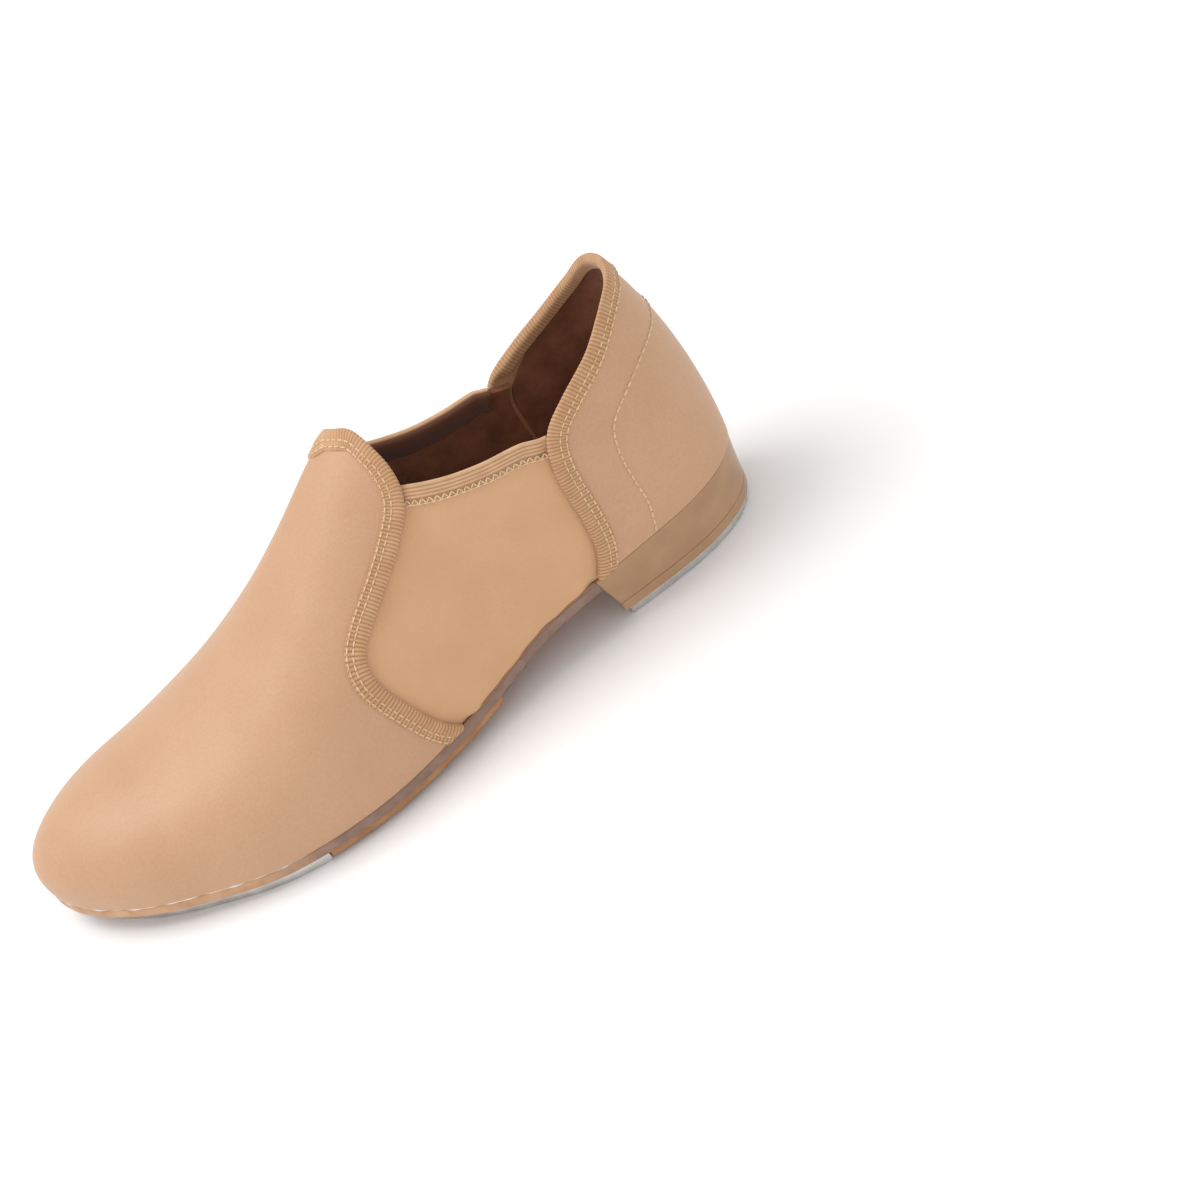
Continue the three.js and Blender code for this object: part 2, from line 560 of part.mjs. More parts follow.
const outsole = slab(22, 3, (q) => breast(q) + GAP, toTip, 0, 0, -SOLE);
add("outsole", cut(outsole, [shankBed, ...screwHoles(TOE_SCREWS)]), COLOUR.sole, 0.6);

// Grip pad between the tap and the waist, with cuts across it that let it bend.
const tapBack = (q) => (TAP_BACK - TAP_BOW * (1 - (2 * q - 1) ** 2)) * SX;
const padBack = (q) => THREE.MathUtils.lerp(PAD_BACK.inner, PAD_BACK.outer, q) * SX;
const slits = SLITS.map(([x0, y0, x1, y1]) => {
  const long = Math.hypot((x1 - x0) * SX, (y1 - y0) * SY), mid = (x0 + x1) / 2 * SX;
  return new THREE.BoxGeometry(long, SLIT.wide, 2 * SLIT.deep)
    .rotateZ(Math.atan2((y1 - y0) * SY, (x1 - x0) * SX))
    .translate(mid, (y0 + y1) / 2 * SY, seatAt(mid) - SOLE - GAP - PAD);
});
const pad = slab(8, 5, padBack, (q) => tapBack(q) - 0.8, 0.8, -SOLE - GAP, -SOLE - GAP - PAD);
add("grip_pad", cut(pad, slits), COLOUR.pad, 0.85);

// ---------------------------------------------------------------- heel
// Plan of the heel as points: round the back from one breast corner to the other, then the breast.
function heelPlan(inset, lean) {
  const points = [];
  const corner = (HEEL_BREAST - lean) * SX;
  const outer = turnAt(corner, 1), inner = turnAt(corner, -1) - 1;
  for (let k = 0; k <= 26; k += 1) {
    points.push(outlineAt(THREE.MathUtils.lerp(outer, inner, k / 26), inset));
  }
  const [first, final] = [points[0], points[26]];
  for (let k = 1; k < 8; k += 1) {
    const p = final.clone().lerp(first, k / 8);
    points.push(new THREE.Vector2(breast(k / 8, lean) + (p.x - corner), p.y));
  }
  return points;
}

// Body between two plans of the same count, at heights given by bottom(p) and top(p).
function lofted(low, high, bottom, top) {
  const a = low.map((p) => new THREE.Vector3(p.x, p.y, bottom(p)));
  const b = high.map((p) => new THREE.Vector3(p.x, p.y, top(p)));
  const centre = (ring) => ring.reduce((sum, p) => sum.add(p), new THREE.Vector3())
    .divideScalar(ring.length);
  const [ca, cb] = [centre(a), centre(b)];
  const out = [];
  a.forEach((p, i) => {
    const j = (i + 1) % a.length;
    out.push([p, a[j], b[j]], [p, b[j], b[i]], [ca, a[j], p], [cb, b[i], b[j]]);
  });
  return outwards(closedMesh(out));
}

const liftBottom = TAP + GAP, liftTop = liftBottom + LIFT;
const blockFoot = heelPlan(HEEL_TAPER, 3.2);
const block = lofted(blockFoot, heelPlan(0.3, 0), () => liftTop + GAP, (p) => seatAt(p.x));
add("heel_block", cut(block, [shankBed, ...nailHoles, ...screwHoles(HEEL_SCREWS)]), COLOUR.heel, 0.45);
const lift = lofted(heelPlan(HEEL_TAPER + 0.3, 3.6), blockFoot, () => liftBottom, () => liftTop);
add("heel_lift", cut(lift, screwHoles(HEEL_SCREWS)), COLOUR.heel, 0.5);
NAILS.forEach(([x, y], i) => add(`heel_nail_${i + 1}`, nailBody(0).translate(x, y, nailTop(x)),
  COLOUR.steel, 0.4, 0.9));

// ---------------------------------------------------------------- taps
// Plate with a small bevel round both faces.
function plate(points) {
  const bevel = 0.4;
  return stripped(new THREE.ExtrudeGeometry(new THREE.Shape(points), { depth: TAP - 2 * bevel,
    bevelThickness: bevel, bevelSize: bevel, bevelOffset: -bevel, bevelSegments: 1 }).translate(0, 0, bevel));
}

function toeTapPlan() {
  const outer = turnAt(TAP_BACK * SX, 1), inner = turnAt(TAP_BACK * SX, -1);
  const points = [];
  for (let k = 0; k <= 34; k += 1) {
    const turn = THREE.MathUtils.lerp(inner, outer, k / 34);
    const nose = THREE.MathUtils.smoothstep(outlineAt(turn).x, TAP_BACK * SX, TIP_X);
    points.push(outlineAt(turn, THREE.MathUtils.lerp(1.4, 5.5, nose)));
  }
  const [first, final] = [points[0], points[34]];
  for (let k = 1; k < 12; k += 1) {
    const q = 1 - k / 12, p = first.clone().lerp(final, q);
    points.push(new THREE.Vector2(p.x + tapBack(q) - TAP_BACK * SX, p.y));
  }
  return points;
}

add("toe_tap", cut(plate(toeTapPlan()), screwHoles(TOE_SCREWS)), COLOUR.metal, 0.35, 1);
add("heel_tap", cut(plate(heelPlan(HEEL_TAPER + 1.8, 5).reverse()), screwHoles(HEEL_SCREWS)),
  COLOUR.metal, 0.35, 1);
TOE_SCREWS.forEach(([x, y], i) => add(`toe_tap_screw_${i + 1}`, screw().translate(x, y, 0),
  COLOUR.metal, 0.3, 1));
HEEL_SCREWS.forEach(([x, y], i) => add(`heel_tap_screw_${i + 1}`, screw().translate(x, y, 0),
  COLOUR.metal, 0.3, 1));

// ---------------------------------------------------------------- origin
const box = new THREE.Box3().setFromObject(shoe);
shoe.position.set(-(box.min.x + box.max.x) / 2, -(box.min.y + box.max.y) / 2, -box.min.z);

export default shoe;
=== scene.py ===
# Slip-on tap shoe for the left foot: leather and elastic upper, rubber sole, stacked heel and two taps.
# Shapes are worked out in millimetres from the back of the heel: X to the toe, Y to the outer side, Z up.
import math

import bmesh
import bpy
import numpy as np
from mathutils import Matrix, Vector
from mathutils.geometry import tessellate_polygon


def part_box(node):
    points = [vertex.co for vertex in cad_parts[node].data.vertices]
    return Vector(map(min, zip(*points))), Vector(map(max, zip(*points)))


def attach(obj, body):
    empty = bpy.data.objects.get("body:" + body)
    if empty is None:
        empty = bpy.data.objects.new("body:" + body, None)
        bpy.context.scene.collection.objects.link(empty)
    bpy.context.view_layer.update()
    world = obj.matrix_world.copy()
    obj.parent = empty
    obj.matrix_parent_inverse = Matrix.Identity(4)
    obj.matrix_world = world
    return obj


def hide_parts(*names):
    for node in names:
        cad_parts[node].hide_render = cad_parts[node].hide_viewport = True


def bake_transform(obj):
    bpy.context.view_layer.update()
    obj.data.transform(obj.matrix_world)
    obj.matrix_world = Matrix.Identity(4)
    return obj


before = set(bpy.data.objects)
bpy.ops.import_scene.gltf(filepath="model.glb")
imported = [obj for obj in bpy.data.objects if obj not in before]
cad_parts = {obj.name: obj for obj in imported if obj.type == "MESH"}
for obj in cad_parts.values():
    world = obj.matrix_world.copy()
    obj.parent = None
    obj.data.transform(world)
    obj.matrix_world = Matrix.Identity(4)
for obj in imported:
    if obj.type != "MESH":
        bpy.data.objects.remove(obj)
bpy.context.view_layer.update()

# ------------------------------------------------------------------ camera
# A long lens from the outer side, above the toe, turned so that the heel stands up to the right.
# The rear heel screw tells where the back of the heel lies in the frame.
SCREW_FROM_HEEL_BACK = (14.0, 0.5)
low_corner, high_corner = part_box("heel_tap_screw_1")
SHIFT = np.array([
    (low_corner.x + high_corner.x) * 500 - SCREW_FROM_HEEL_BACK[0],
    (low_corner.y + high_corner.y) * 500 - SCREW_FROM_HEEL_BACK[1],
    0.0,
])
azimuth = math.radians(179.35)
elevation = math.radians(38.9)
roll = math.radians(-33.09)
back = np.array([
    math.sin(azimuth) * math.cos(elevation),
    -math.cos(azimuth) * math.cos(elevation),
    math.sin(elevation),
])
level_right = np.array([math.cos(azimuth), math.sin(azimuth), 0.0])
level_up = np.cross(back, level_right)
right = math.cos(roll) * level_right + math.sin(roll) * level_up
up = -math.sin(roll) * level_right + math.cos(roll) * level_up
SHOE_MIDDLE = np.array([130.0, 0.0, 40.0])
AIM = SHOE_MIDDLE + 76.47 * right + 5.09 * up
CAMERA_DISTANCE = 955.4


def placed(owner, at, axes):
    """Puts a lamp or the camera at a point in millimetres, with its own axes."""
    spot = (np.asarray(at) + SHIFT) / 1000
    rows = [[axes[0][k], axes[1][k], axes[2][k], spot[k]] for k in range(3)]
    owner.matrix_world = Matrix([*rows, [0, 0, 0, 1]])
    bpy.context.scene.collection.objects.link(owner)
    return owner


lens = bpy.data.cameras.new("camera")
lens.sensor_width = 36.0
lens.lens = 92.06
lens.clip_end = 20.0
camera = bpy.data.objects.new("camera", lens)
placed(camera, AIM + CAMERA_DISTANCE * back, (right, up, back))
bpy.context.scene.camera = camera

# ------------------------------------------------------------------ insole board and sock liner
# Hard fibre board that the upper is lasted over, and the brown brushed fabric liner glued on it.
# Both follow the sole's outline, inside all layers of the upper.
OUTLINE = np.array([
    [0, .5], [6, 15.5], [24, 25.5], [55, 29.8], [88, 31], [122, 40], [155, 46.3], [188, 45],
    [216, 36], [238, 24.7], [255, 7.9], [259.5, -10], [247, -25.7], [226, -35.7], [198, -39.4],
    [166, -36.9], [132, -28.1], [98, -23.2], [62, -24.7], [26, -25.5], [6, -16.4],
])
SEAT = np.array([
    [0, 24.5], [45, 23.3], [75, 19.6], [105, 12.985], [135, 9.2], [165, 8.1], [195, 8.3],
    [225, 10.17], [260, 12.7],
])
GAP = 0.3
BOARD_INSET = 4.1
BOARD_TOP = 2.3
SOCK_TOP = 4.1
SLAB_BEVEL = 0.6
FIBRE = 0.5
RIDGE_FROM = 26.0
RIDGE_TO = 214.0


def table(rows, x):
    """Smooth curve through rows of (x, value), level outside them."""
    rows = np.asarray(rows, float)
    at = np.clip(x, rows[0, 0], rows[-1, 0])
    slopes = np.empty(len(rows))
    slopes[1:-1] = (rows[2:, 1] - rows[:-2, 1]) / (rows[2:, 0] - rows[:-2, 0])
    slopes[0] = (rows[1, 1] - rows[0, 1]) / (rows[1, 0] - rows[0, 0])
    slopes[-1] = (rows[-1, 1] - rows[-2, 1]) / (rows[-1, 0] - rows[-2, 0])
    first = np.clip(np.searchsorted(rows[:, 0], at, side="right") - 1, 0, len(rows) - 2)
    span = rows[first + 1, 0] - rows[first, 0]
    s = (at - rows[first, 0]) / span
    r = 1 - s
    return ((1 + 2 * s) * r * r * rows[first, 1] + s * r * r * span * slopes[first]
            + s * s * (3 - 2 * s) * rows[first + 1, 1] - s * s * r * span * slopes[first + 1])


def along(points, t, closed=False):
    """Place at t, from 0 to 1, on a smooth curve through the points."""
    points = np.asarray(points, float)
    count = len(points)
    t = np.asarray(t, float)
    if closed:
        at = (t % 1.0) * count
        first = np.floor(at).astype(int)
        a, b, c, d = (points[(first + k) % count] for k in (-1, 0, 1, 2))
    else:
        at = np.clip(t, 0, 1) * (count - 1)
        first = np.minimum(np.floor(at).astype(int), count - 2)
        padded = np.vstack([2 * points[0] - points[1], points, 2 * points[-1] - points[-2]])
        a, b, c, d = (padded[first + k] for k in (0, 1, 2, 3))
    w = (at - first)[..., None]
    return b + 0.5 * w * (c - a + w * (2 * a - 5 * b + 4 * c - d + w * (3 * (b - c) + d - a)))


def outline(turn, inset=0.0):
    """The sole's edge in plan: turn goes round the outer side, the toe and the inner side."""
    turn = np.asarray(turn, float)
    step = along(OUTLINE, turn + 1e-4, True) - along(OUTLINE, turn - 1e-4, True)
    step /= np.linalg.norm(step, axis=-1, keepdims=True)
    inwards = np.stack([step[..., 1], -step[..., 0]], -1)
    return along(OUTLINE, turn, True) + inwards * np.asarray(inset, float)[..., None]


near_tip = np.linspace(10 / 21, 12 / 21, 20001)
TIP = near_tip[np.argmax(along(OUTLINE, near_tip, True)[:, 0])]
TIP_X = float(along(OUTLINE, TIP, True)[0])
SIDE_TURNS = {side: np.linspace(0.0 if side > 0 else 1.0, TIP, 8001) for side in (1, -1)}
SIDE_REACH = {side: np.maximum.accumulate(along(OUTLINE, turns, True)[:, 0])
              for side, turns in SIDE_TURNS.items()}


def turn_at(x, side):
    """Turn at a station along the shoe, on the outer (1) or inner (-1) side."""
    return np.interp(x, SIDE_REACH[side], SIDE_TURNS[side])


def seat_height(x):
    return table(SEAT, x)


def level(x, low=RIDGE_FROM, high=RIDGE_TO, soft=8.0):
    """Follows x between two limits, and levels off smoothly at both."""
    raised = low + ((x - low) + np.hypot(x - low, soft)) / 2
    return np.clip(high - ((high - raised) + np.hypot(high - raised, soft)) / 2, low, high)


def sheet(rows, columns, offset=0):
    """Faces of a grid of points."""
    index = np.arange(rows * columns).reshape(rows, columns) + offset
    quads = np.stack([index[:-1, :-1], index[1:, :-1], index[1:, 1:], index[:-1, 1:]], -1)
    return quads.reshape(-1, 4)


def shell(outer, inner):
    """Closed body between two grids of points of the same size. Where two parts of the rim meet, as
    they do on the toe's middle line, there is no wall between them."""
    rows, columns = outer.shape[:2]
    count = rows * columns
    index = np.arange(count).reshape(rows, columns)
    rim = np.concatenate([index[0, :], index[1:, -1], index[-1, -2::-1], index[-2:0:-1, 0]])
    after = np.roll(rim, -1)
    wall = np.stack([rim, after, after + count, rim + count], -1)
    vertices = np.vstack([outer.reshape(-1, 3), inner.reshape(-1, 3)])
    places = np.unique(np.round(vertices, 4), axis=0, return_inverse=True)[1].ravel()
    _, same, times = np.unique(np.sort(places[wall], axis=1), axis=0,
                               return_inverse=True, return_counts=True)
    wall = wall[times[same.ravel()] == 1]
    faces = np.vstack([sheet(rows, columns), sheet(rows, columns, count)[:, ::-1], wall])
    return vertices, faces.tolist()


def piece(name, body, materials, sharp=35.0, choose=None, rib_shades_and_faces=None):
    """Makes one object: welds its seams, turns its faces out and gives it its materials. The
    rib_shades_and_faces are one number for each point, for the material: from 0 in a groove to 1 on a rib,
    for painted shade in the grooves, and -1 on the inner face of a gore band."""
    vertices, faces = body
    mesh = bpy.data.meshes.new(name)
    mesh.from_pydata(((vertices + SHIFT) / 1000).tolist(), [], faces)
    if rib_shades_and_faces is not None:
        mesh.attributes.new("rib_shade_and_face", "FLOAT", "POINT").data.foreach_set("value", np.ravel(rib_shades_and_faces))
    for material in materials:
        mesh.materials.append(material)
    work = bmesh.new()
    work.from_mesh(mesh)
    bmesh.ops.remove_doubles(work, verts=work.verts, dist=2e-5)
    bmesh.ops.recalc_face_normals(work, faces=work.faces)
    if choose:
        for face in work.faces:
            centre = face.calc_center_median()
            face.material_index = choose(centre, face.normal)
    work.to_mesh(mesh)
    work.free()
    mesh.polygons.foreach_set("use_smooth", [True] * len(mesh.polygons))
    mesh.set_sharp_from_angle(angle=math.radians(sharp))
    made = bpy.data.objects.new(name, mesh)
    bpy.context.scene.collection.objects.link(made)
    return made


def bends(made, slot, *nodes):
    """Fixes the piece's place into its mesh, and hides the parts of the model that it stands for."""
    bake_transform(made)
    if nodes:
        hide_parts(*nodes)


def linear(code):
    """sRGB hex as a linear colour."""
    parts = [int(code[k:k + 2], 16) / 255 for k in (0, 2, 4)]
    return [c / 12.92 if c <= 0.04045 else ((c + 0.055) / 1.055) ** 2.4 for c in parts] + [1.0]


def put(tree, kind, inputs=None, **settings):
    """Adds one node, with its settings, and the values or links of its inputs."""
    node = tree.nodes.new("ShaderNode" + kind)
    for name, value in settings.items():
        setattr(node, name, value)
    for name, value in (inputs or {}).items():
        if isinstance(value, bpy.types.NodeSocket):
            tree.links.new(value, node.inputs[name])
        else:
            node.inputs[name].default_value = value
    return node


def new_material(name, roughness, **sockets):
    """An empty material: its node tree, its shader, and the place on the piece in millimetres."""
    material = bpy.data.materials.new(name)
    material.use_nodes = True
    tree = material.node_tree
    tree.nodes.clear()
    shader = put(tree, "BsdfPrincipled", {"Roughness": roughness, **sockets})
    put(tree, "OutputMaterial", {"Surface": shader.outputs[0]})
    place = put(tree, "TexCoord").outputs["Object"]
    millimetres = put(tree, "VectorMath", {0: place, "Scale": 1000.0}, operation="SCALE").outputs[0]
    return material, tree, shader, millimetres


def mottled(tree, where, size, first, second, detail=3.0, spread=(0.35, 0.65)):
    """A colour that drifts between two, in patches of a size in millimetres."""
    noise = put(tree, "TexNoise", {"Vector": where, "Scale": 1 / size, "Detail": detail})
    part = put(tree, "MapRange",
               {"Value": noise.outputs["Fac"], "From Min": spread[0], "From Max": spread[1]})
    return put(tree, "Mix", {0: part.outputs[0], 6: first, 7: second}, data_type="RGBA").outputs[2]


def relief(tree, shader, height, depth, strength=1.0, under=None):
    """Raises the surface by a height pattern, to a depth in millimetres."""
    inputs = {"Height": height, "Distance": depth / 1000, "Strength": strength}
    if under is not None:
        inputs["Normal"] = under
    bump = put(tree, "Bump", inputs).outputs[0]
    for link in list(shader.inputs["Normal"].links):
        tree.links.remove(link)
    tree.links.new(bump, shader.inputs["Normal"])
    return bump


# Fibre board: pressed cellulose, matt and flecked.
board_fibre, tree, shader, where = new_material("pressed_fibre_board", 0.9)
flecks = mottled(tree, where, 1.2, linear("b59b78"), linear("a48a66"), 5.0)
tree.links.new(flecks, shader.inputs["Base Color"])
fibres = put(tree, "TexNoise", {"Vector": where, "Scale": 1 / FIBRE})
relief(tree, shader, fibres.outputs["Fac"], 0.1)

# Brushed brown fabric: a short nap, so it is dull with a soft sheen, in threads 0.5 mm apart.
NAP = 0.5
brushed_fabric, tree, shader, where = new_material(
    "brushed_tricot_lining", 0.95,
    **{"Sheen Weight": 0.1, "Sheen Roughness": 0.6, "Specular IOR Level": 0.15})
nap = mottled(tree, where, 9.0, linear("946044"), linear("754932"), 6.0)
tree.links.new(nap, shader.inputs["Base Color"])
threads = put(tree, "TexVoronoi", {"Vector": where, "Scale": 1 / NAP})
relief(tree, shader, threads.outputs["Distance"], 0.12, 0.8)


def spine(x):
    """Middle of the sole at a station."""
    return (outline(turn_at(x, 1))[..., 1] + outline(turn_at(x, -1))[..., 1]) / 2


def deck(turns, stations, insets, steps, height):
    """Grid from the sole's edge, by insets, to its middle line. The height is a function of plan places."""
    rims = [outline(turns, np.full(len(turns), inset)) for inset in insets]
    station = level(stations)
    middle = np.stack([station, spine(station)], -1)
    fill = [rims[-1] + (middle - rims[-1]) * s for s in np.linspace(0, 1, steps + 1)[1:]]
    plan = np.stack([*rims, *fill], 1)
    return np.concatenate([plan, height(plan)[..., None]], -1)


def paired(stations):
    """Turns round the toe at equal stations on both sides, so that the halves meet on the middle line."""
    outer, inner = turn_at(stations, 1), turn_at(stations, -1)
    outer[-1] = TIP
    return np.concatenate([outer, inner[-2::-1]]), np.concatenate([stations, stations[-2::-1]])


def slab(top, bottom, inset):
    """Flat layer over the whole seat."""
    round_all = paired(TIP_X * (1 - np.cos(np.linspace(0, np.pi, 150))) / 2)
    insets = [inset, inset + SLAB_BEVEL]
    return shell(*(deck(*round_all, insets, 10, lambda p: seat_height(p[..., 0]) + height)
                   for height in (top, bottom)))


bends(piece("insole_board", slab(BOARD_TOP, GAP, BOARD_INSET), [board_fibre]), "board", "insole_board")
bends(piece("sock_liner", slab(SOCK_TOP, BOARD_TOP + GAP, BOARD_INSET), [brushed_fabric]),
      "lining", "sock_liner")

# ------------------------------------------------------------------ linings
# Brown brushed fabric inside the vamp and the quarter, glued to the leather and stitched in with the
# bindings. It stops short of the elastic sides.
RIDGE = [
    [24, 123], [60, 120.5], [85, 109.7], [100, 101.8], [115, 92.4], [135, 77.9], [155, 64],
    [175, 52.6], [195, 44.6], [215, 38.6],
]
RIDGE_Y = [[26, 2], [100, -6.4], [150, -2.8], [214, -1.3]]
ROUND_IN = [[24, .99], [80, .95], [110, 1.05], [150, .99], [214, .97]]
ROUND_UP = [[24, 1.06], [80, 1.03], [110, 1.05], [150, .89], [214, .86]]
BULGE = [[24, 4.9], [80, 3.3], [130, 2.6], [214, 3.2]]
VAMP_SIDE = [
    [120.5, 0], [125.8, .07], [130.6, .185], [133.8, .285], [134.3, .35], [132, .405],
    [126, .437], [116.8, .462],
]
VAMP_EDGE = {
    1: VAMP_SIDE + [[106.9, .492], [99.2, .528], [95.8, .575], [95, .64], [95.9, .72], [98.4, .845],
                    [102.8, .94], [105, 1]],
    -1: VAMP_SIDE + [[107.5, .49], [102.6, .52], [100.2, .562], [101.2, .635], [105.4, .735], [108.4, .83],
                     [107.8, .925], [105, 1]],
}
QUARTER_EDGE = [
    [59.5, 0, 1], [55.2, .07, 1], [53.9, .16, 1], [53.7, .24, 1], [52.6, .31, 1],
    [48.6, .372, 1], [39.4, .42, 1], [28.3, .465, 1], [15.4, .525, 1], [6, .555, 1],
    [0, .567, 1], [6, .53, -1], [16, .465, -1], [30, .4, -1], [43, .357, -1], [53.5, .318, -1],
    [57.6, .265, -1], [58.2, .2, -1], [58, .13, -1], [58.6, .06, -1], [61.5, 0, -1],
]
COUNTER_EDGE = [
    [37.5, 0], [35, .08], [34.9, .17], [34, .245], [30, .305], [19, .352], [8, .38], [0, .388],
]
LINING_DEPTHS = (2.8, 3.4)
LINING_RISE = 1.4  # how much nearer to the leather the lining lies along its free edges
TUCK = 5.0
GORE_CORNER = 0.69


def last(turn, share, depth=0.0):
    """The shoe's form: share goes from the sole (0) to the middle line on top (1), and depth is the
    distance inside the outer face of the leather."""
    turn, share, depth = (np.asarray(v, float) for v in np.broadcast_arrays(turn, share, depth))
    outer = outline(turn)
    edge = outline(turn, depth)
    station = level(outer[..., 0])
    middle = np.stack([station, table(RIDGE_Y, station)], -1)
    seat = seat_height(outer[..., 0]) + GAP
    rise = table(RIDGE, station) - depth - seat
    lift = np.clip(share, 0, 1) * np.pi / 2
    bulge = table(BULGE, station) * np.sin(2 * lift) * np.exp(-2.4 * lift / np.pi)
    reach = np.linalg.norm(middle - edge, axis=-1)
    inwards = 1 - np.cos(lift) ** table(ROUND_IN, station) - bulge / reach
    plan = edge + (middle - edge) * inwards[..., None]
    height = seat + rise * np.sin(lift) ** table(ROUND_UP, station)
    return np.concatenate([plan, height[..., None]], -1)


def across(x, cross, depth=0.0):
    """The form by station: cross 0 to 1 goes up the outer side, and 1 to 2 down the inner side."""
    x, cross = np.broadcast_arrays(x, cross)
    near = cross <= 1
    turn = np.where(near, turn_at(x, 1), turn_at(x, -1))
    return last(turn, np.where(near, cross, 2 - cross), depth)


def smooth(x, low, high):
    s = np.clip((x - low) / (high - low), 0, 1)
    return s * s * (3 - 2 * s)


def past_ridge(x, v, stepped):
    """Corrects a step that crosses the middle line, because the form is wider on its outer side."""
    h = 1e-3
    speed = {side: np.linalg.norm(last(turn_at(x, side), 1.0) - last(turn_at(x, side), 1.0 - h), axis=-1)
             for side in (1, -1)}
    ratio = np.where(v < 1, speed[1] / speed[-1], speed[-1] / speed[1])
    return np.where((v - 1) * (stepped - 1) < 0, 1 + (stepped - 1) * ratio, stepped)


def step_in(place, edge, q, flip):
    """Gives the place on the form at each distance in from an edge, at q along it."""
    h = 1e-3
    here = edge(q)
    u, v = here[..., 0], here[..., 1]
    before, after = edge(np.clip(q - h, 0, 1)), edge(np.clip(q + h, 0, 1))
    run = place(after[..., 0], after[..., 1]) - place(before[..., 0], before[..., 1])
    run /= np.linalg.norm(run, axis=-1, keepdims=True)
    below = np.maximum(v - h, 0)
    du = (place(u + h, v) - place(u - h, v)) / (2 * h)
    dv = (place(u, v + h) - place(u, below)) / (v + h - below)[..., None]
    out = np.cross(du, dv)
    out /= np.linalg.norm(out, axis=-1, keepdims=True)
    inwards = np.cross(out, run) * flip
    uu, uv, vv = (du * du).sum(-1), (du * dv).sum(-1), (dv * dv).sum(-1)
    pu, pv = (du * inwards).sum(-1), (dv * inwards).sum(-1)
    area = uu * vv - uv * uv
    step_u, step_v = (pu * vv - pv * uv) / area, (pv * uu - pu * uv) / area

    def stepped(distance):
        across_now = v + step_v * distance
        if place is across:
            across_now = past_ridge(u + step_u * distance, v, across_now)
        return np.stack([u + step_u * distance, across_now], -1)
    return stepped


def vamp_track(q):
    """Rear edge of the vamp as (station, cross), up the outer side and down the inner side."""
    q = np.asarray(q, float)
    outer, inner = along(VAMP_EDGE[1], q * 2), along(VAMP_EDGE[-1], 2 - q * 2)
    near = q <= 0.5
    return np.stack([np.where(near, outer[..., 0], inner[..., 0]),
                     np.where(near, outer[..., 1], 2 - inner[..., 1])], -1)


def forefoot(rows, columns, depth, margin, nearer=0.0):
    """Grid from the vamp's rear edge, moved forward by a margin, to the toe. At that edge it lies nearer
    to the leather by a given amount."""
    q = np.linspace(0, 1, columns + 1)
    edge = step_in(across, vamp_track, q, -1)(margin(q))
    share_at_edge = np.where(q <= 0.5, edge[:, 1], 2 - edge[:, 1])
    share_at_toe = np.where(q <= 0.5, 2 * q, 2 - 2 * q)
    s = np.linspace(0, 1, rows + 1)[:, None]
    x = edge[None, :, 0] + (TIP_X - edge[None, :, 0]) * (1 - (1 - s) ** 1.7)
    calm = smooth(s, 0, 0.8)
    share = share_at_edge * (1 - calm) + share_at_toe * calm
    turn = np.where(q <= 0.5, turn_at(x, 1), turn_at(x, -1))
    turn[-1] = TIP
    return last(turn, share, depth - nearer * (1 - smooth(s, 0.05, 0.2)))


def round_heel(rows):
    """An edge as (turn, share), from the outer side round the heel to the inner side."""
    turns = [0.0 if x == 0 else float(turn_at(x, side)) - (side < 0) for x, share, side in rows]
    points = [(turn, row[1]) for turn, row in zip(turns, rows)]
    return lambda q: along(points, q)


def rearfoot(columns, rows, depth, edge, nearer=0.0):
    """Grid round the heel, from the sole up to an edge, where it lies nearer to the leather."""
    q = np.linspace(0, 1, columns + 1)
    top = edge(q)
    foot = top[0, 0] + (top[-1, 0] - top[0, 0]) * q
    s = np.linspace(0, 1, rows + 1)[None, :]
    return last(foot[:, None] * (1 - s) + top[:, :1] * s, top[:, 1:] * s,
                depth - nearer * smooth(s, 0.75, 0.93))


quarter_edge = round_heel(QUARTER_EDGE)


def stays(made, body, slot, *nodes):
    """The piece moves with one body."""
    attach(made, body)
    if nodes:
        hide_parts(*nodes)


def lining_edge(q):
    ends = smooth(np.minimum(q, 1 - q), 0.25, 0.36)
    return step_in(last, quarter_edge, q, 1)(TUCK + 1.5 + (1 - TUCK - 1.5) * ends)


def lining_margin(q):
    rise = np.where(q <= 0.5, 2 * q, 2 - 2 * q)
    return TUCK + 3 + (1 - TUCK - 3) * smooth(rise, GORE_CORNER + 0.14, GORE_CORNER + 0.27)


vamp_lining = shell(*(forefoot(90, 100, depth, lining_margin, LINING_RISE) for depth in LINING_DEPTHS))
bends(piece("vamp_lining", vamp_lining, [brushed_fabric]), "lining", "vamp_lining")
quarter_lining = shell(*(rearfoot(160, 60, depth, lining_edge, LINING_RISE) for depth in LINING_DEPTHS))
stays(piece("quarter_lining", quarter_lining, [brushed_fabric]), "rearfoot", "lining", "quarter_lining")

# ------------------------------------------------------------------ toe puff and heel counter
# Two thin pieces of felt stiffened with resin, which keep the toe and the heel in shape. They are
# softened by heat, pressed over the last and glued between leather and lining.
STIFF_DEPTHS = (1.7, 2.3)
TOE_PUFF_FROM = 206.0
FELT_FIBRE = 2 / 3

# Resin felt: dry, matt and cream, with short tangled fibres at its surface.
stiff_felt, tree, shader, where = new_material("resin_stiffened_felt", 0.8)
tree.links.new(mottled(tree, where, 2.0, linear("e6e0d2"), linear("d6cdb8")),
               shader.inputs["Base Color"])
tangle = put(tree, "TexNoise", {"Vector": where, "Scale": 1 / FELT_FIBRE, "Detail": 6.0})
relief(tree, shader, tangle.outputs["Fac"], 0.1)
counter_edge = round_heel([*([x, share, 1] for x, share in COUNTER_EDGE),
                           *([x, share, -1] for x, share in COUNTER_EDGE[-2::-1])])


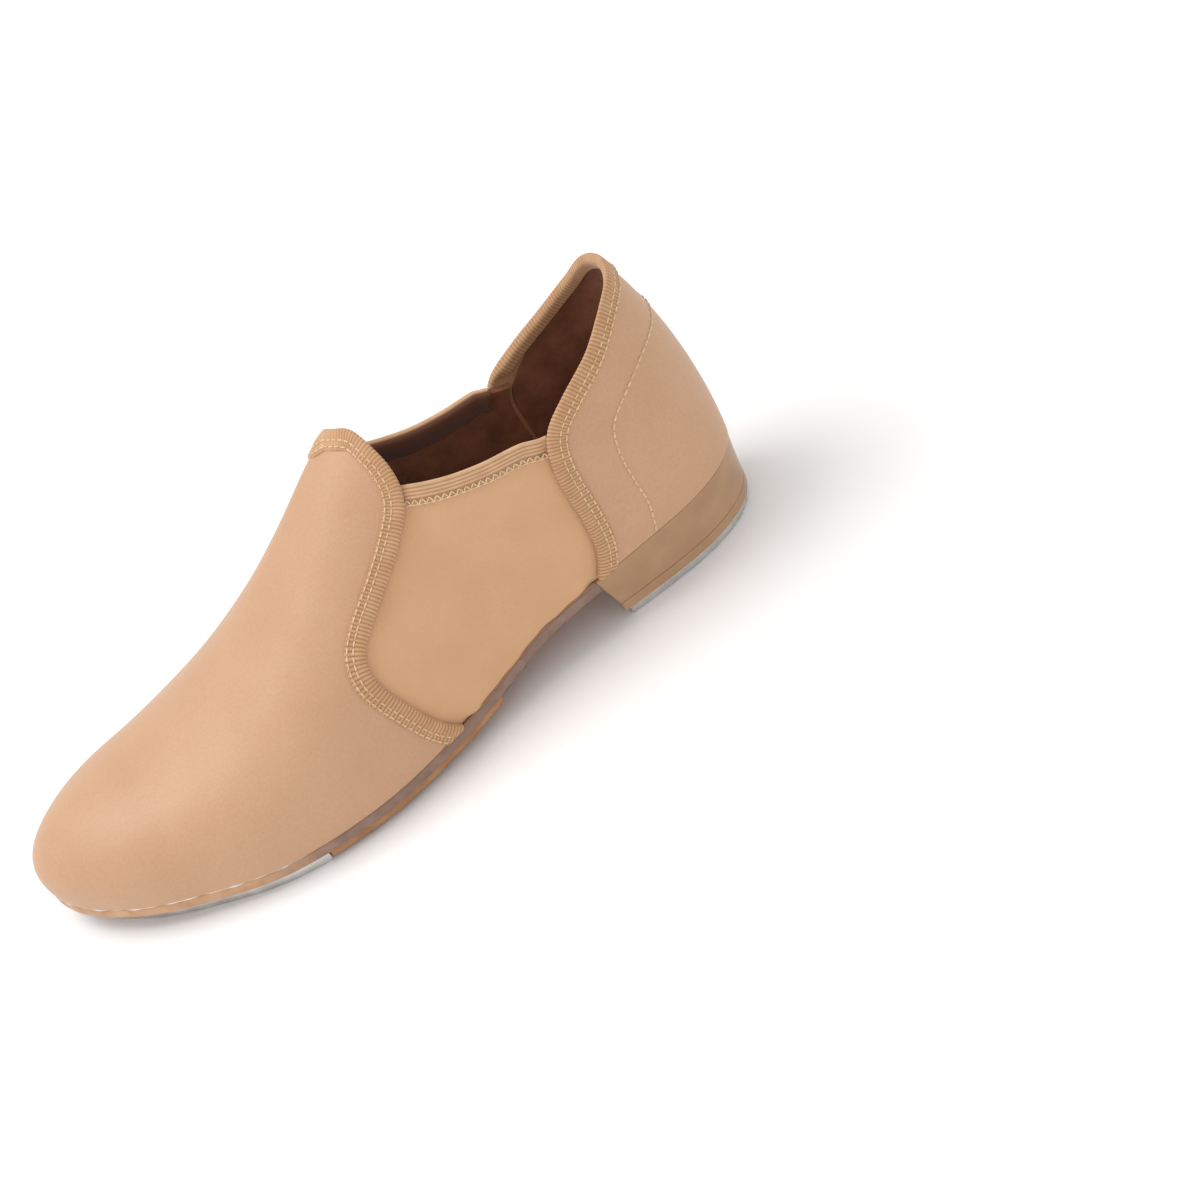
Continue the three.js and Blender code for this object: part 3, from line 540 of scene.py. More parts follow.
def toe_cap(depth):
    """Grid over the toe."""
    q = np.linspace(0, 1, 81)
    s = np.linspace(0, 1, 31)[:, None]
    x = TOE_PUFF_FROM + (TIP_X - TOE_PUFF_FROM) * (1 - (1 - s) ** 2) + 0 * q
    turn = np.where(q <= 0.5, turn_at(x, 1), turn_at(x, -1))
    turn[-1] = TIP
    return last(turn, np.where(q <= 0.5, 2 * q, 2 - 2 * q) + 0 * s, depth)


stays(piece("toe_puff", shell(*(toe_cap(depth) for depth in STIFF_DEPTHS)), [stiff_felt]),
      "forefoot", "stiffener", "toe_puff")
stays(piece("heel_counter", shell(*(rearfoot(80, 20, depth, counter_edge) for depth in STIFF_DEPTHS)),
            [stiff_felt]), "rearfoot", "stiffener", "heel_counter")

# ------------------------------------------------------------------ vamp and quarter
# Tan synthetic leather: polyurethane film with a fine embossed grain on a knitted backing, cut in two
# pieces, moulded over the last and glued under the sole.
LEATHER_DEPTHS = (0.0, 1.2)
GRAIN = 0.75
CREASES = 6.0

# Polyurethane film: satin, with shallow cells pressed in by an embossing roller. The real cells are
# about 0.4 mm across, and are drawn coarser so that they show.
tan_leather, tree, shader, where = new_material(
    "embossed_polyurethane_leather", 0.46, **{"Specular IOR Level": 0.42, "Coat Weight": 0.06,
                                              "Coat Roughness": 0.35})
cloudy = mottled(tree, where, 26.0, linear("c9a07e"), linear("c59b79"), 4.0)
pores = put(tree, "TexNoise", {"Vector": where, "Scale": 1 / GRAIN, "Detail": 2.0})
dark_pores = put(tree, "MapRange", {"Value": pores.outputs["Fac"], "From Min": 0.3, "From Max": 0.7})
speckled = put(tree, "Mix", {0: dark_pores.outputs[0], 6: linear("f9f4ee"), 7: linear("ffffff")},
               data_type="RGBA")
tinted = put(tree, "Mix", {0: 1.0, 6: cloudy, 7: speckled.outputs[2]},
             data_type="RGBA", blend_type="MULTIPLY")
tree.links.new(tinted.outputs[2], shader.inputs["Base Color"])
cells = put(tree, "TexVoronoi", {"Vector": where, "Scale": 1 / GRAIN}, feature="SMOOTH_F1")
fine = relief(tree, shader, cells.outputs["Distance"], 0.1, 0.3)
waves = put(tree, "TexNoise", {"Vector": where, "Scale": 1 / CREASES, "Detail": 2.0})
relief(tree, shader, waves.outputs["Fac"], 0.3, 0.35, under=fine)

vamp = piece("vamp", shell(*(forefoot(190, 180, depth, lambda q: 0 * q) for depth in LEATHER_DEPTHS)),
             [tan_leather])
bends(vamp, "upper_leather", "vamp")
quarter = piece("quarter", shell(*(rearfoot(240, 90, depth, quarter_edge) for depth in LEATHER_DEPTHS)),
                [tan_leather])
stays(quarter, "rearfoot", "upper_leather", "quarter")

# ------------------------------------------------------------------ gores
# Elastic side panels of knitted rubber thread with a brushed tan face, stretched between vamp and
# quarter. Their front and rear edges run under the leather.
GORE_TOP = {1: [[40, 74], [52, 76], [58.7, 78.3], [71.6, 79.3], [83, 81.2], [95, 85], [110, 92]],
            -1: [[46, 65], [53, 66.8], [59, 69.6], [72, 70.8], [84, 73.5], [95, 78.5], [110, 87]]}
GORE_DEPTHS = (1.5, 3.4)
QUARTER_CORNER = {1: 0.25, -1: 0.75}
KNIT = 0.55
GORE_FLARE = 1.45  # how far the panel's foot stands out, between the leather's edges

# Elastic knit: brushed, so its face is dull with a soft sheen, and its loops barely show.
elastic, tree, shader, where = new_material(
    "brushed_elastic_knit", 0.85,
    **{"Sheen Weight": 0.25, "Sheen Roughness": 0.5, "Specular IOR Level": 0.25})
tree.links.new(mottled(tree, where, 14.0, linear("d3a77f"), linear("cfa27a"), 4.0),
               shader.inputs["Base Color"])
loops = put(tree, "TexVoronoi", {"Vector": where, "Scale": 1 / KNIT})
relief(tree, shader, loops.outputs["Distance"], 0.1, 0.5)


def share_at(turn, height):
    """Share at which the form reaches a height."""
    x = outline(turn)[..., 0]
    station = level(x)
    seat = seat_height(x) + GAP
    part = np.clip((height - seat) / (table(RIDGE, station) - seat), 0, 1)
    return np.arcsin(part ** (1 / table(ROUND_UP, station))) * 2 / np.pi


def gore_grid(side, depth):
    """Grid between the quarter (s 0) and the vamp (s 1), from the sole (q 0) to the gore's top (q 1)."""
    q = np.linspace(0, 1, 71)
    s = np.linspace(0, 1, 91)[:, None]
    corner = QUARTER_CORNER[side]
    on_quarter = q * corner if side > 0 else 1 - q * (1 - corner)
    rear = step_in(last, quarter_edge, on_quarter, 1)(TUCK)
    rear_x = outline(rear[:, 0])[:, 0]
    on_vamp = q * GORE_CORNER / 2 if side > 0 else 1 - q * GORE_CORNER / 2
    front = step_in(across, vamp_track, on_vamp, -1)(TUCK)
    front_share = front[:, 1] if side > 0 else 2 - front[:, 1]
    top_x = rear_x[-1] + (front[-1, 0] - rear_x[-1]) * s
    top = share_at(turn_at(top_x, side), table(GORE_TOP[side], top_x))
    share = ((1 - s) * (rear[:, 1] - q * rear[-1, 1]) + s * (front_share - q * front_share[-1]) + q * top)
    x = rear_x + (front[:, 0] - rear_x) * s
    low = 1 - smooth(q, 0, 0.14)
    between = smooth(s, 0.11, 0.18) * (1 - smooth(s, 0.82, 0.89))
    return last(turn_at(x, side), share, depth - GORE_FLARE * low * between)


for side, name in ((1, "gore_outer"), (-1, "gore_inner")):
    panel = piece(name, shell(*(gore_grid(side, depth) for depth in GORE_DEPTHS)),
                  [elastic, brushed_fabric],
                  choose=lambda centre, normal, side=side: 1 if normal.y * side < -0.1 else 0)
    bends(panel, "gore", name)

# ------------------------------------------------------------------ bindings
# Ribbed grosgrain tape folded over the free edges of vamp and quarter and sewn down with two rows of
# cream thread. The ribs are cords 1.2 mm apart that stand 0.2 mm proud.
RIB = 1.2
SAMPLES_IN_RIB = 6
RIB_HEIGHT = 0.17
FINE_WEFT = 0.3
# Section round the tape. Columns: distance in from the edge, depth, the same two where the tape also
# wraps the lining, and how much the rib moves the point each way.
TAPE_SECTION = np.array([
    [5.55, -.02, 5.55, -.02, 0, 0], [5.6, -.5, 5.6, -.5, .5, -.3], [5.3, -.82, 5.3, -.82, 0, -1],
    [4.9, -.85, 4.9, -.85, 0, -.6], [4.3, -.95, 4.3, -.95, 0, -1], [3.5, -.95, 3.5, -.95, 0, -1],
    [2.95, -.78, 2.95, -.78, 0, -.6], [2.4, -1, 2.4, -1, 0, -1], [1.5, -1.12, 1.5, -1.12, 0, -1],
    [.6, -1.12, .6, -1.12, 0, -1], [-.1, -1, -.1, -1, -.3, -1], [-.6, -.75, -.6, -.75, -.7, -.7],
    [-.9, -.35, -.9, -.35, -1, -.3], [-1, .15, -1, .15, -1, 0], [-1, .8, -1, 1.5, -1, 0],
    [-.85, 1.15, -.85, 2.0, -.8, .5], [-.5, 1.35, -.5, 2.3, -.3, .8], [.1, 1.42, .3, 2.45, 0, .8],
    [.2, 1.42, 2.5, 2.45, 0, .6], [.2, 1.22, 2.6, 2.15, 0, 0], [-.1, 1.22, -.1, 2.1, 0, 0],
    [-.2, .2, -.2, .2, 0, 0], [-.1, -.05, -.1, -.05, 0, 0], [2.8, -.02, 2.8, -.02, 0, 0],
])

# Grosgrain: polyester cords under a fine weft, with a soft sheen on them. Shade is painted between the ribs:
# the colour darkens in the grooves.
tape_cloth, tree, shader, where = new_material(
    "ribbed_grosgrain_tape", 0.8,
    **{"Sheen Weight": 0.3, "Sheen Roughness": 0.4, "Specular IOR Level": 0.3})
cords = mottled(tree, where, 5.0, linear("cfa47d"), linear("c4986f"), 4.0)
rib_shade_and_face = put(tree, "Attribute", attribute_name="rib_shade_and_face").outputs["Fac"]
# Painted shade: the dark brown goes in the grooves between the ribs, and the tape's own colour goes on them.
tree.links.new(put(tree, "Mix", {0: rib_shade_and_face, 6: linear("95694a"), 7: cords}, data_type="RGBA").outputs[2],
               shader.inputs["Base Color"])
weft = put(tree, "TexNoise", {"Vector": where, "Scale": 1 / FINE_WEFT, "Detail": 3.0})
relief(tree, shader, weft.outputs["Fac"], 0.06, 0.4)


def paced(path, step):
    """Places along a path a step apart, as its parameter and the distance run."""
    q = np.linspace(0, 1, 3001)
    points = path(q)
    run = np.concatenate([[0], np.cumsum(np.linalg.norm(np.diff(points, axis=0), axis=1))])
    distance = np.linspace(0, run[-1], int(round(run[-1] / step)) + 1)
    return np.interp(distance, run, q), distance


def sweep(rings):
    """Closed body through rings of points, capped at both ends."""
    count, size = rings.shape[:2]
    index = np.arange(count * size).reshape(count, size)
    looped = np.concatenate([index, index[:, :1]], 1)
    quads = np.stack([looped[:-1, :-1], looped[1:, :-1], looped[1:, 1:], looped[:-1, 1:]], -1)
    return rings.reshape(-1, 3), [*quads.reshape(-1, 4).tolist(), index[0].tolist(), index[-1].tolist()]


def tape(place, edge, flip, wraps_lining, ribbed):
    """Tape along an edge, and the painted shade of its ribs, one number for each point. The last two
    functions say where it wraps the lining, and how strong its ribs are."""
    q, distance = paced(lambda t: place(edge(t)[:, 0], edge(t)[:, 1]), RIB / SAMPLES_IN_RIB)
    step = step_in(place, edge, q, flip)
    wave = np.abs(np.sin(np.pi * distance / RIB)) ** 0.6
    rib = RIB_HEIGHT * (wave - 0.5) * ribbed(q)
    wrap = wraps_lining(q)
    rings = []
    for inset, depth, far_inset, far_depth, push_inset, push_depth in TAPE_SECTION:
        spot = step(inset + (far_inset - inset) * wrap + push_inset * rib)
        rings.append(place(spot[:, 0], spot[:, 1], depth + (far_depth - depth) * wrap + push_depth * rib))
    # Painted shade: 0 in the grooves between the ribs and 1 on their tops.
    rib_shade_and_face = 1 - (1 - wave) * ribbed(q)
    return sweep(np.stack(rings, 1)), np.repeat(rib_shade_and_face, len(TAPE_SECTION))


def vamp_wrap(q):
    rise = np.where(q <= 0.5, 2 * q, 2 - 2 * q)
    return smooth(rise, GORE_CORNER - 0.01, GORE_CORNER + 0.05)


def quarter_wrap(q):
    return smooth(q, QUARTER_CORNER[1], QUARTER_CORNER[1] + 0.03) * (
        1 - smooth(q, QUARTER_CORNER[-1] - 0.03, QUARTER_CORNER[-1]))


def vamp_ribs(q):
    """The ribs fade on the peak of the tongue."""
    return 1 - 0.75 * (1 - smooth(np.abs(q - 0.5), 0.03, 0.06))


body, rib_shades_and_faces = tape(across, vamp_track, -1, vamp_wrap, vamp_ribs)
bends(piece("vamp_binding", body, [tape_cloth], 50, rib_shades_and_faces=rib_shades_and_faces), "binding", "vamp_binding")
body, rib_shades_and_faces = tape(last, quarter_edge, 1, quarter_wrap, lambda q: 1 + 0 * q)
stays(piece("quarter_binding", body, [tape_cloth], 50, rib_shades_and_faces=rib_shades_and_faces), "rearfoot", "binding",
      "quarter_binding")

# ------------------------------------------------------------------ stitching
# Twisted cream polyester thread, 0.5 mm thick: two rows on each binding, and one on the quarter along
# the edge of the heel counter.
STITCH = 2.0
STITCH_GAP = 0.45
THREAD = 0.26
COUNTER_STITCH = 2.3
COUNTER_THREAD = 0.34
BINDING_ROWS = ((2.95, -0.92), (4.9, -1.0))  # distance in from the edge, and depth

# Polyester thread: two plies twisted together, smooth and a little shiny. The twist is drawn wider
# than the real one, so that it shows.
cream_thread, tree, shader, where = new_material(
    "twisted_polyester_thread", 0.6, **{"Sheen Weight": 0.3, "Specular IOR Level": 0.4})
tree.links.new(mottled(tree, where, 1.0, linear("e8cca4"), linear("d6b085")),
               shader.inputs["Base Color"])
ply = put(tree, "TexWave", {"Vector": where, "Scale": 0.9, "Distortion": 1.0}, wave_type="BANDS",
          bands_direction="DIAGONAL")
relief(tree, shader, ply.outputs["Fac"], 0.1, 0.8)


def threads_between(starts, ends, outs, radius=THREAD, sides=7, rings=7):
    """One short round-ended thread for each pair of points, humped along the outward direction."""
    run = ends - starts
    length = np.linalg.norm(run, axis=1, keepdims=True)
    run /= length
    lift = outs - run * (outs * run).sum(1, keepdims=True)
    lift /= np.linalg.norm(lift, axis=1, keepdims=True)
    wide = np.cross(run, lift)
    t = (1 - np.cos(np.linspace(0, np.pi, rings))) / 2
    girth = np.maximum(np.sqrt(np.clip(1 - (2 * t - 1) ** 4, 0, 1)), 0.12)
    turns = np.linspace(0, 2 * np.pi, sides, endpoint=False)
    bodies = []
    for k in range(len(starts)):
        centre = starts[k] + run[k] * (t[:, None] * length[k])
        centre = centre + lift[k] * (0.5 * radius * (girth[:, None] - 0.4))
        around = (np.cos(turns)[:, None] * wide[k] + np.sin(turns)[:, None] * lift[k]) * radius
        bodies.append(sweep(centre[:, None] + girth[:, None, None] * around))
    return bodies


def joined(bodies):
    """Several bodies as one."""
    vertices, faces, count = [], [], 0
    for points, sides in bodies:
        vertices.append(points)
        faces.extend([[k + count for k in side] for side in sides])
        count += len(points)
    return np.vstack(vertices), faces


def row_of_stitches(place, edge, flip, inset, depth, keep=(0.0, 1.0), stitch=STITCH, thread=THREAD):
    """Stitches along a line at a distance in from an edge."""
    def line(t, depth=depth):
        spot = step_in(place, edge, t, flip)(inset)
        return place(spot[:, 0], spot[:, 1], depth)
    q, distance = paced(line, stitch / 8)
    run = np.arange(distance[-1] * keep[0] + 0.4, distance[-1] * keep[1] - stitch, stitch + STITCH_GAP)
    start, end = np.interp(run, distance, q), np.interp(run + stitch, distance, q)
    return threads_between(line(start), line(end), line(start, depth - 1.0) - line(start), thread)


def two_rows(place, edge, flip):
    """Both rows of stitches on a binding, as one body."""
    first, second = (row_of_stitches(place, edge, flip, *row, (0.01, 0.99)) for row in BINDING_ROWS)
    return joined(first + second)


bends(piece("vamp_binding_stitching", two_rows(across, vamp_track, -1), [cream_thread]), "binding")
stays(piece("quarter_binding_stitching", two_rows(last, quarter_edge, 1), [cream_thread]),
      "rearfoot", "binding")
counter_row = row_of_stitches(last, counter_edge, 1, 0.0, -0.12,
                              stitch=COUNTER_STITCH, thread=COUNTER_THREAD)
stays(piece("counter_stitching", joined(counter_row), [cream_thread]), "rearfoot", "upper_leather")

# ------------------------------------------------------------------ gore bands
# Woven elastic band folded over the top edge of each gore: three fine ribs run along it, and a cream
# chain of zigzag thread holds its lower edge.
BAND_ENDS = {1: (50.3, 96.5), -1: (57.0, 102.0)}
BAND_TUCK = 0.85  # how far both ends go down, under the leather
BAND_SECTION = np.array([
    [6, 1.45], [6, 1], [5.8, .78], [4.4, .76], [3.9, .74], [3.55, .55], [3.2, .5], [2.85, .72],
    [2.5, .55], [2.1, .48], [1.75, .72], [1.4, .55], [.9, .48], [.55, .72], [.2, .55], [-.3, .5],
    [-.7, .7], [-.95, 1.1], [-1, 1.8], [-1, 2.8], [-.85, 3.4], [-.4, 3.7], [.3, 3.8], [5.4, 3.8],
    [5.6, 3.6], [5.4, 3.45], [0, 3.45], [-.15, 3.2], [-.15, 1.6], [0, 1.45],
])
BROWN_FROM = 2.0  # depth past which the band shows its brown inner face, marked by -1 in rib_shades_and_faces
ZIGZAG = 2.3
ZIGZAG_THREAD = 0.24
CHAIN_THREAD = 0.22

# Woven elastic: covered rubber cores under a tan weave, a little lighter than the tapes, with shade painted
# in the grooves between its ribs. Its inner face is brown like the lining.
band_cloth, tree, shader, where = new_material(
    "woven_elastic_band", 0.8, **{"Sheen Weight": 0.3, "Specular IOR Level": 0.3})
ribs = mottled(tree, where, 4.0, linear("d6ad87"), linear("cca17a"), 4.0)
rib_shade_and_face = put(tree, "Attribute", attribute_name="rib_shade_and_face").outputs["Fac"]
# Painted shade: the darker brown goes in the band's grooves.
ribbed = put(tree, "Mix", {0: rib_shade_and_face, 6: linear("9a7050"), 7: ribs}, data_type="RGBA").outputs[2]
outside = put(tree, "MapRange", {"Value": rib_shade_and_face, "From Min": -0.6, "From Max": 0.0})
two_faced = put(tree, "Mix", {0: outside.outputs[0], 6: linear("6d4430"), 7: ribbed}, data_type="RGBA")
tree.links.new(two_faced.outputs[2], shader.inputs["Base Color"])
weft = put(tree, "TexNoise", {"Vector": where, "Scale": 1 / FINE_WEFT, "Detail": 3.0})
relief(tree, shader, weft.outputs["Fac"], 0.05, 0.4)
for side, name in ((1, "gore_band_outer"), (-1, "gore_band_inner")):
    def place_on(x, share, depth=0.0, side=side):
        return last(turn_at(x, side), share, depth)

    def band_track(q, side=side):
        x = BAND_ENDS[side][0] + (BAND_ENDS[side][1] - BAND_ENDS[side][0]) * np.asarray(q, float)
        return np.stack([x, share_at(turn_at(x, side), table(GORE_TOP[side], x))], -1)

    def band_line(inset, depth, t, place=place_on, track=band_track):
        spot = step_in(place, track, t, -1)(inset)
        return place(spot[:, 0], spot[:, 1], depth)
    q = np.linspace(0, 1, 121)
    tuck = BAND_TUCK * (1 - smooth(np.minimum(q, 1 - q), 0.02, 0.1))
    band = sweep(np.stack([band_line(inset, depth + tuck, q) for inset, depth in BAND_SECTION], 1))
    # Painted shade: the grooves between the ribs get 0.25, for a darker colour; -1 marks the brown inner
    # face.
    ribbing = np.where((BAND_SECTION[:, 1] > 0.7) & (BAND_SECTION[:, 1] < 0.77), 0.25, 1.0)
    ribbing[BAND_SECTION[:, 1] > BROWN_FROM] = -1.0
    rib_shades_and_faces = np.tile(ribbing, len(q))
    stays(piece(name, band, [band_cloth], 60, rib_shades_and_faces=rib_shades_and_faces), "rearfoot", "binding", name)
    q, distance = paced(lambda t: band_line(5.0, 0.7, t), 0.2)
    teeth = np.arange(0.3, distance[-1] - ZIGZAG, ZIGZAG / 2)
    at = np.interp(teeth, distance, q)
    high, low = band_line(4.15, 0.66, at), band_line(5.75, 0.68, at)
    corner = np.where((np.arange(len(at)) % 2 == 0)[:, None], high, low)
    out = band_line(5.0, -1.0, at) - band_line(5.0, 0.7, at)
    chain = threads_between(corner[:-1], corner[1:], out[:-1], ZIGZAG_THREAD)
    chain += threads_between(low[:-2:2], low[2::2], out[:-2:2], CHAIN_THREAD)
    stays(piece(name + "_stitching", joined(chain), [cream_thread]), "rearfoot", "binding")

# ------------------------------------------------------------------ outsole
# Moulded rubber sole 4 mm thick, cemented to the lasted upper. Its edge is painted tan to match the
# leather, and its waist is hollowed a little.
SOLE = 4.0
BREAST = 62.0
BREAST_BOW = 5.0
EDGE_ROUNDING = [[0, .12, .4, .9, 99], [.8, .4, .1, 0, 0]]  # distance in from the edge, and drop
SCUFF = 1.5
BRUSH = 0.8

# Moulded rubber: brown, with a satin skin that is scuffed all over.
sole_rubber, tree, shader, where = new_material("moulded_rubber_sole", 0.55, **{"Specular IOR Level": 0.35})
tree.links.new(mottled(tree, where, 8.0, linear("a36d4b"), linear("94603f"), 5.0),
               shader.inputs["Base Color"])
scuffs = put(tree, "TexNoise", {"Vector": where, "Scale": 1 / SCUFF, "Detail": 6.0})
relief(tree, shader, scuffs.outputs["Fac"], 0.15, 0.6)

# Edge paint: put on by hand with a brush, so it is uneven. It is tan at the toe and a dull taupe at
# the waist.
painted_edge, tree, shader, where = new_material("edge_paint_on_rubber", 0.5, **{"Specular IOR Level": 0.4})
toe_tan = mottled(tree, where, 5.0, linear("cfa37e"), linear("bd8f6a"), 6.0)
dull = mottled(tree, where, 5.0, linear("94786a"), linear("85695a"), 6.0)
run = put(tree, "SeparateXYZ", {0: where}).outputs["X"]
at_toe = put(tree, "MapRange", {"Value": run, "From Min": 40.0, "From Max": 72.0})
toe_to_waist_colour = put(tree, "Mix", {0: at_toe.outputs[0], 6: dull, 7: toe_tan}, data_type="RGBA")
tree.links.new(toe_to_waist_colour.outputs[2], shader.inputs["Base Color"])
brush = put(tree, "TexNoise", {"Vector": where, "Scale": 1 / BRUSH, "Detail": 5.0})
relief(tree, shader, brush.outputs["Fac"], 0.12, 0.6)


def towards_toe(start, count):
    """Stations from a start to the tip of the toe, closer together at the tip."""
    return start + (TIP_X - start) * (1 - (1 - np.linspace(0, 1, count)) ** 1.7)


def behind_breast(plan, pull):
    """Bows the rear end of the sole to the hollow front of the heel."""
    fade = 1 - smooth(plan[..., 0], BREAST, BREAST + 32)
    steps = np.linspace(0, 1, plan.shape[1])
    plan = plan.copy()
    plan[..., 0] -= pull * (1 - (1 - steps) ** 2) * fade
    return plan


def sole_face(height, hollow):
    """One face of the outsole, with rounded edges. The height is over the seat."""
    insets = [0, .12, .4, .9, 2, 5, 10]
    drop = np.interp(insets, *EDGE_ROUNDING)
    grid = deck(*paired(towards_toe(BREAST + GAP, 150)), insets, 16,
                lambda p: seat_height(p[..., 0]) + height)
    grid = behind_breast(grid, BREAST_BOW)
    sign = 1 if height < -1 else -1
    grid[:, :len(drop), 2] += sign * drop
    middle = spine(np.clip(grid[..., 0], 1, 250))
    waist = (1 - smooth(grid[..., 0], 84, 108)) * np.exp(-((grid[..., 1] - middle) / 13) ** 2)
    grid[..., 2] += hollow * waist
    return grid


outsole = piece("outsole", shell(sole_face(0.0, 0.0), sole_face(-SOLE, 0.9)), [painted_edge, sole_rubber],
                choose=lambda centre, normal: 1 if normal.z < -0.8 else 0)
bends(outsole, "sole_rubber", "outsole")

# ------------------------------------------------------------------ sole cement
# A thin, uneven line of dried contact cement where the upper meets the sole: pale at the toe, and brown
# towards the waist.
CEMENT = 0.42

# Contact cement: dried in lumps, satin.
cement, tree, shader, where = new_material("dried_contact_cement", 0.6)
run = put(tree, "SeparateXYZ", {0: where}).outputs["X"]
lumps = put(tree, "TexNoise", {"Vector": where, "Scale": 1 / 4.0, "Detail": 4.0})
shifted = put(tree, "Math", {0: lumps.outputs["Fac"], 1: 70.0, 2: run}, operation="MULTIPLY_ADD")
pale = put(tree, "MapRange", {"Value": shifted.outputs[0], "From Min": 75.0, "From Max": 110.0})
mixed = put(tree, "Mix", {0: pale.outputs[0], 6: linear("8d6a4e"), 7: linear("e9e2da")}, data_type="RGBA")
tree.links.new(mixed.outputs[2], shader.inputs["Base Color"])
turns, _ = paired(towards_toe(BREAST, 260))
angles = np.linspace(0, 2 * np.pi, 8, endpoint=False)
lump = 1 + 0.3 * np.sin(turns * 211) + 0.25 * np.sin(turns * 487 + 1)
centre = outline(turns, 0.5 + 0 * turns)
outer = outline(turns, -0.5 + 0 * turns)
away = outer - centre
rings = [np.concatenate([centre + away * (CEMENT * lump * math.cos(a))[:, None],
                         (seat_height(centre[:, 0]) + 0.12 + CEMENT * lump * math.sin(a))[:, None]], 1)
         for a in angles]
bends(piece("sole_cement", sweep(np.stack(rings, 1)), [cement]), "sole_rubber")

# ------------------------------------------------------------------ grip pad
# Softer rubber glued under the ball of the foot: rows of small diamond studs 2.2 mm apart inside a
# plain border, with four cuts across it that let it bend.
PAD_TOP = 4.3
PAD = 2.2
STUD = 2.2
TAP_BACK = 176.0
TAP_BOW = 6.0
PAD_INSET = 0.8
PAD_BACK = {1: 105, -1: 114}
PAD_TO_TAP = 0.8
PAD_BORDER = (2.6, 3.2)
STUD_HEIGHT = 0.42
SLIT_DEPTH = 1.3
CRUMB = 0.5
SLITS = [[118, 25, 121.5, 9], [127, 31, 134, -11], [145, 33, 146, -17], [155.5, 33, 157, -21]]

# Crepe rubber: lighter and duller than the sole, with a crumbly skin that grips.
pad_rubber, tree, shader, where = new_material("studded_crepe_rubber", 0.75, **{"Specular IOR Level": 0.3})
tree.links.new(mottled(tree, where, 6.0, linear("b8875f"), linear("a67650"), 6.0),
               shader.inputs["Base Color"])
crumb = put(tree, "TexNoise", {"Vector": where, "Scale": 1 / CRUMB, "Detail": 5.0})
relief(tree, shader, crumb.outputs["Fac"], 0.12, 0.8)


def pad_plan(rows, columns):
    """Plan grid from the pad's rear line to the tap."""
    q = np.linspace(0, 1, columns + 1)[None, :]
    s = np.linspace(0, 1, rows + 1)[:, None]
    rear = PAD_BACK[-1] + (PAD_BACK[1] - PAD_BACK[-1]) * q
    front = TAP_BACK - TAP_BOW * (1 - (2 * q - 1) ** 2) - PAD_TO_TAP
    x = rear + (front - rear) * s
    outer = outline(turn_at(x, 1), PAD_INSET + 0 * x)
    inner = outline(turn_at(x, -1), PAD_INSET + 0 * x)
    return inner + (outer - inner) * q[..., None], s, q


def pad_bottom(rows, columns):
    """Underside of the pad, with its studs, border and cuts."""
    plan, s, q = pad_plan(rows, columns)
    x, y = plan[..., 0], plan[..., 1]
    width = np.linalg.norm(plan[:, :1] - plan[:, -1:], axis=-1)
    edge = np.minimum(np.minimum(q, 1 - q) * width, np.minimum(s, 1 - s) * 60)
    cells = [np.abs(((x * c + y * d) / STUD) % 1 - 0.5) * 2 for c, d in ((.8, .6), (.8, -.6))]
    stud = np.clip(1.6 * (1 - np.maximum(*cells)), 0, 1)
    inside = smooth(edge, *PAD_BORDER)
    cut = 0 * x
    for x0, y0, x1, y1 in SLITS:
        run = np.array([x1 - x0, y1 - y0])
        length = np.linalg.norm(run)
        run = run / length
        far = (x - x0) * run[0] + (y - y0) * run[1]
        off = np.abs((x - x0) * run[1] - (y - y0) * run[0])
        cut = np.maximum(cut, (1 - smooth(off, 0.25, 0.6)) * ((far > 0) & (far < length)))
    rounding = 0.35 * (1 - smooth(edge, 0, 0.7))
    z = (seat_height(x) - PAD_TOP - PAD + STUD_HEIGHT - STUD_HEIGHT * stud * inside
         - STUD_HEIGHT * (1 - inside))
    return np.concatenate([plan, (z + rounding + SLIT_DEPTH * cut)[..., None]], -1)


plan, s, q = pad_plan(190, 230)
pad_top = np.concatenate([plan, (seat_height(plan[..., 0]) - PAD_TOP + 0.25)[..., None]], -1)
bends(piece("grip_pad", shell(pad_top, pad_bottom(190, 230)), [pad_rubber], 50), "pad_rubber", "grip_pad")

# ------------------------------------------------------------------ heel block and top lift
# Stacked heel moulded in hard plastic and covered with a satin tan lacquer. The front is hollowed, and
# a thin seam shows where the rubber top lift is glued on.
HEEL_TAPER = 2.2
LIFT_BOTTOM = 3.7
LIFT_TOP = 7.4
CORNER_ROUND = 1.2
DUST = 2.5

# Lacquer: a thin even coat with a satin gloss, and a few grains of dust caught in it.
satin_lacquer, tree, shader, where = new_material(
    "satin_lacquer_on_plastic", 0.34, **{"Coat Weight": 0.15, "Coat Roughness": 0.25})
tree.links.new(mottled(tree, where, 12.0, linear("b28b67"), linear("a8805c"), 5.0),
               shader.inputs["Base Color"])
dust = put(tree, "TexNoise", {"Vector": where, "Scale": 1 / DUST, "Detail": 5.0})
relief(tree, shader, dust.outputs["Fac"], 0.08, 0.5)


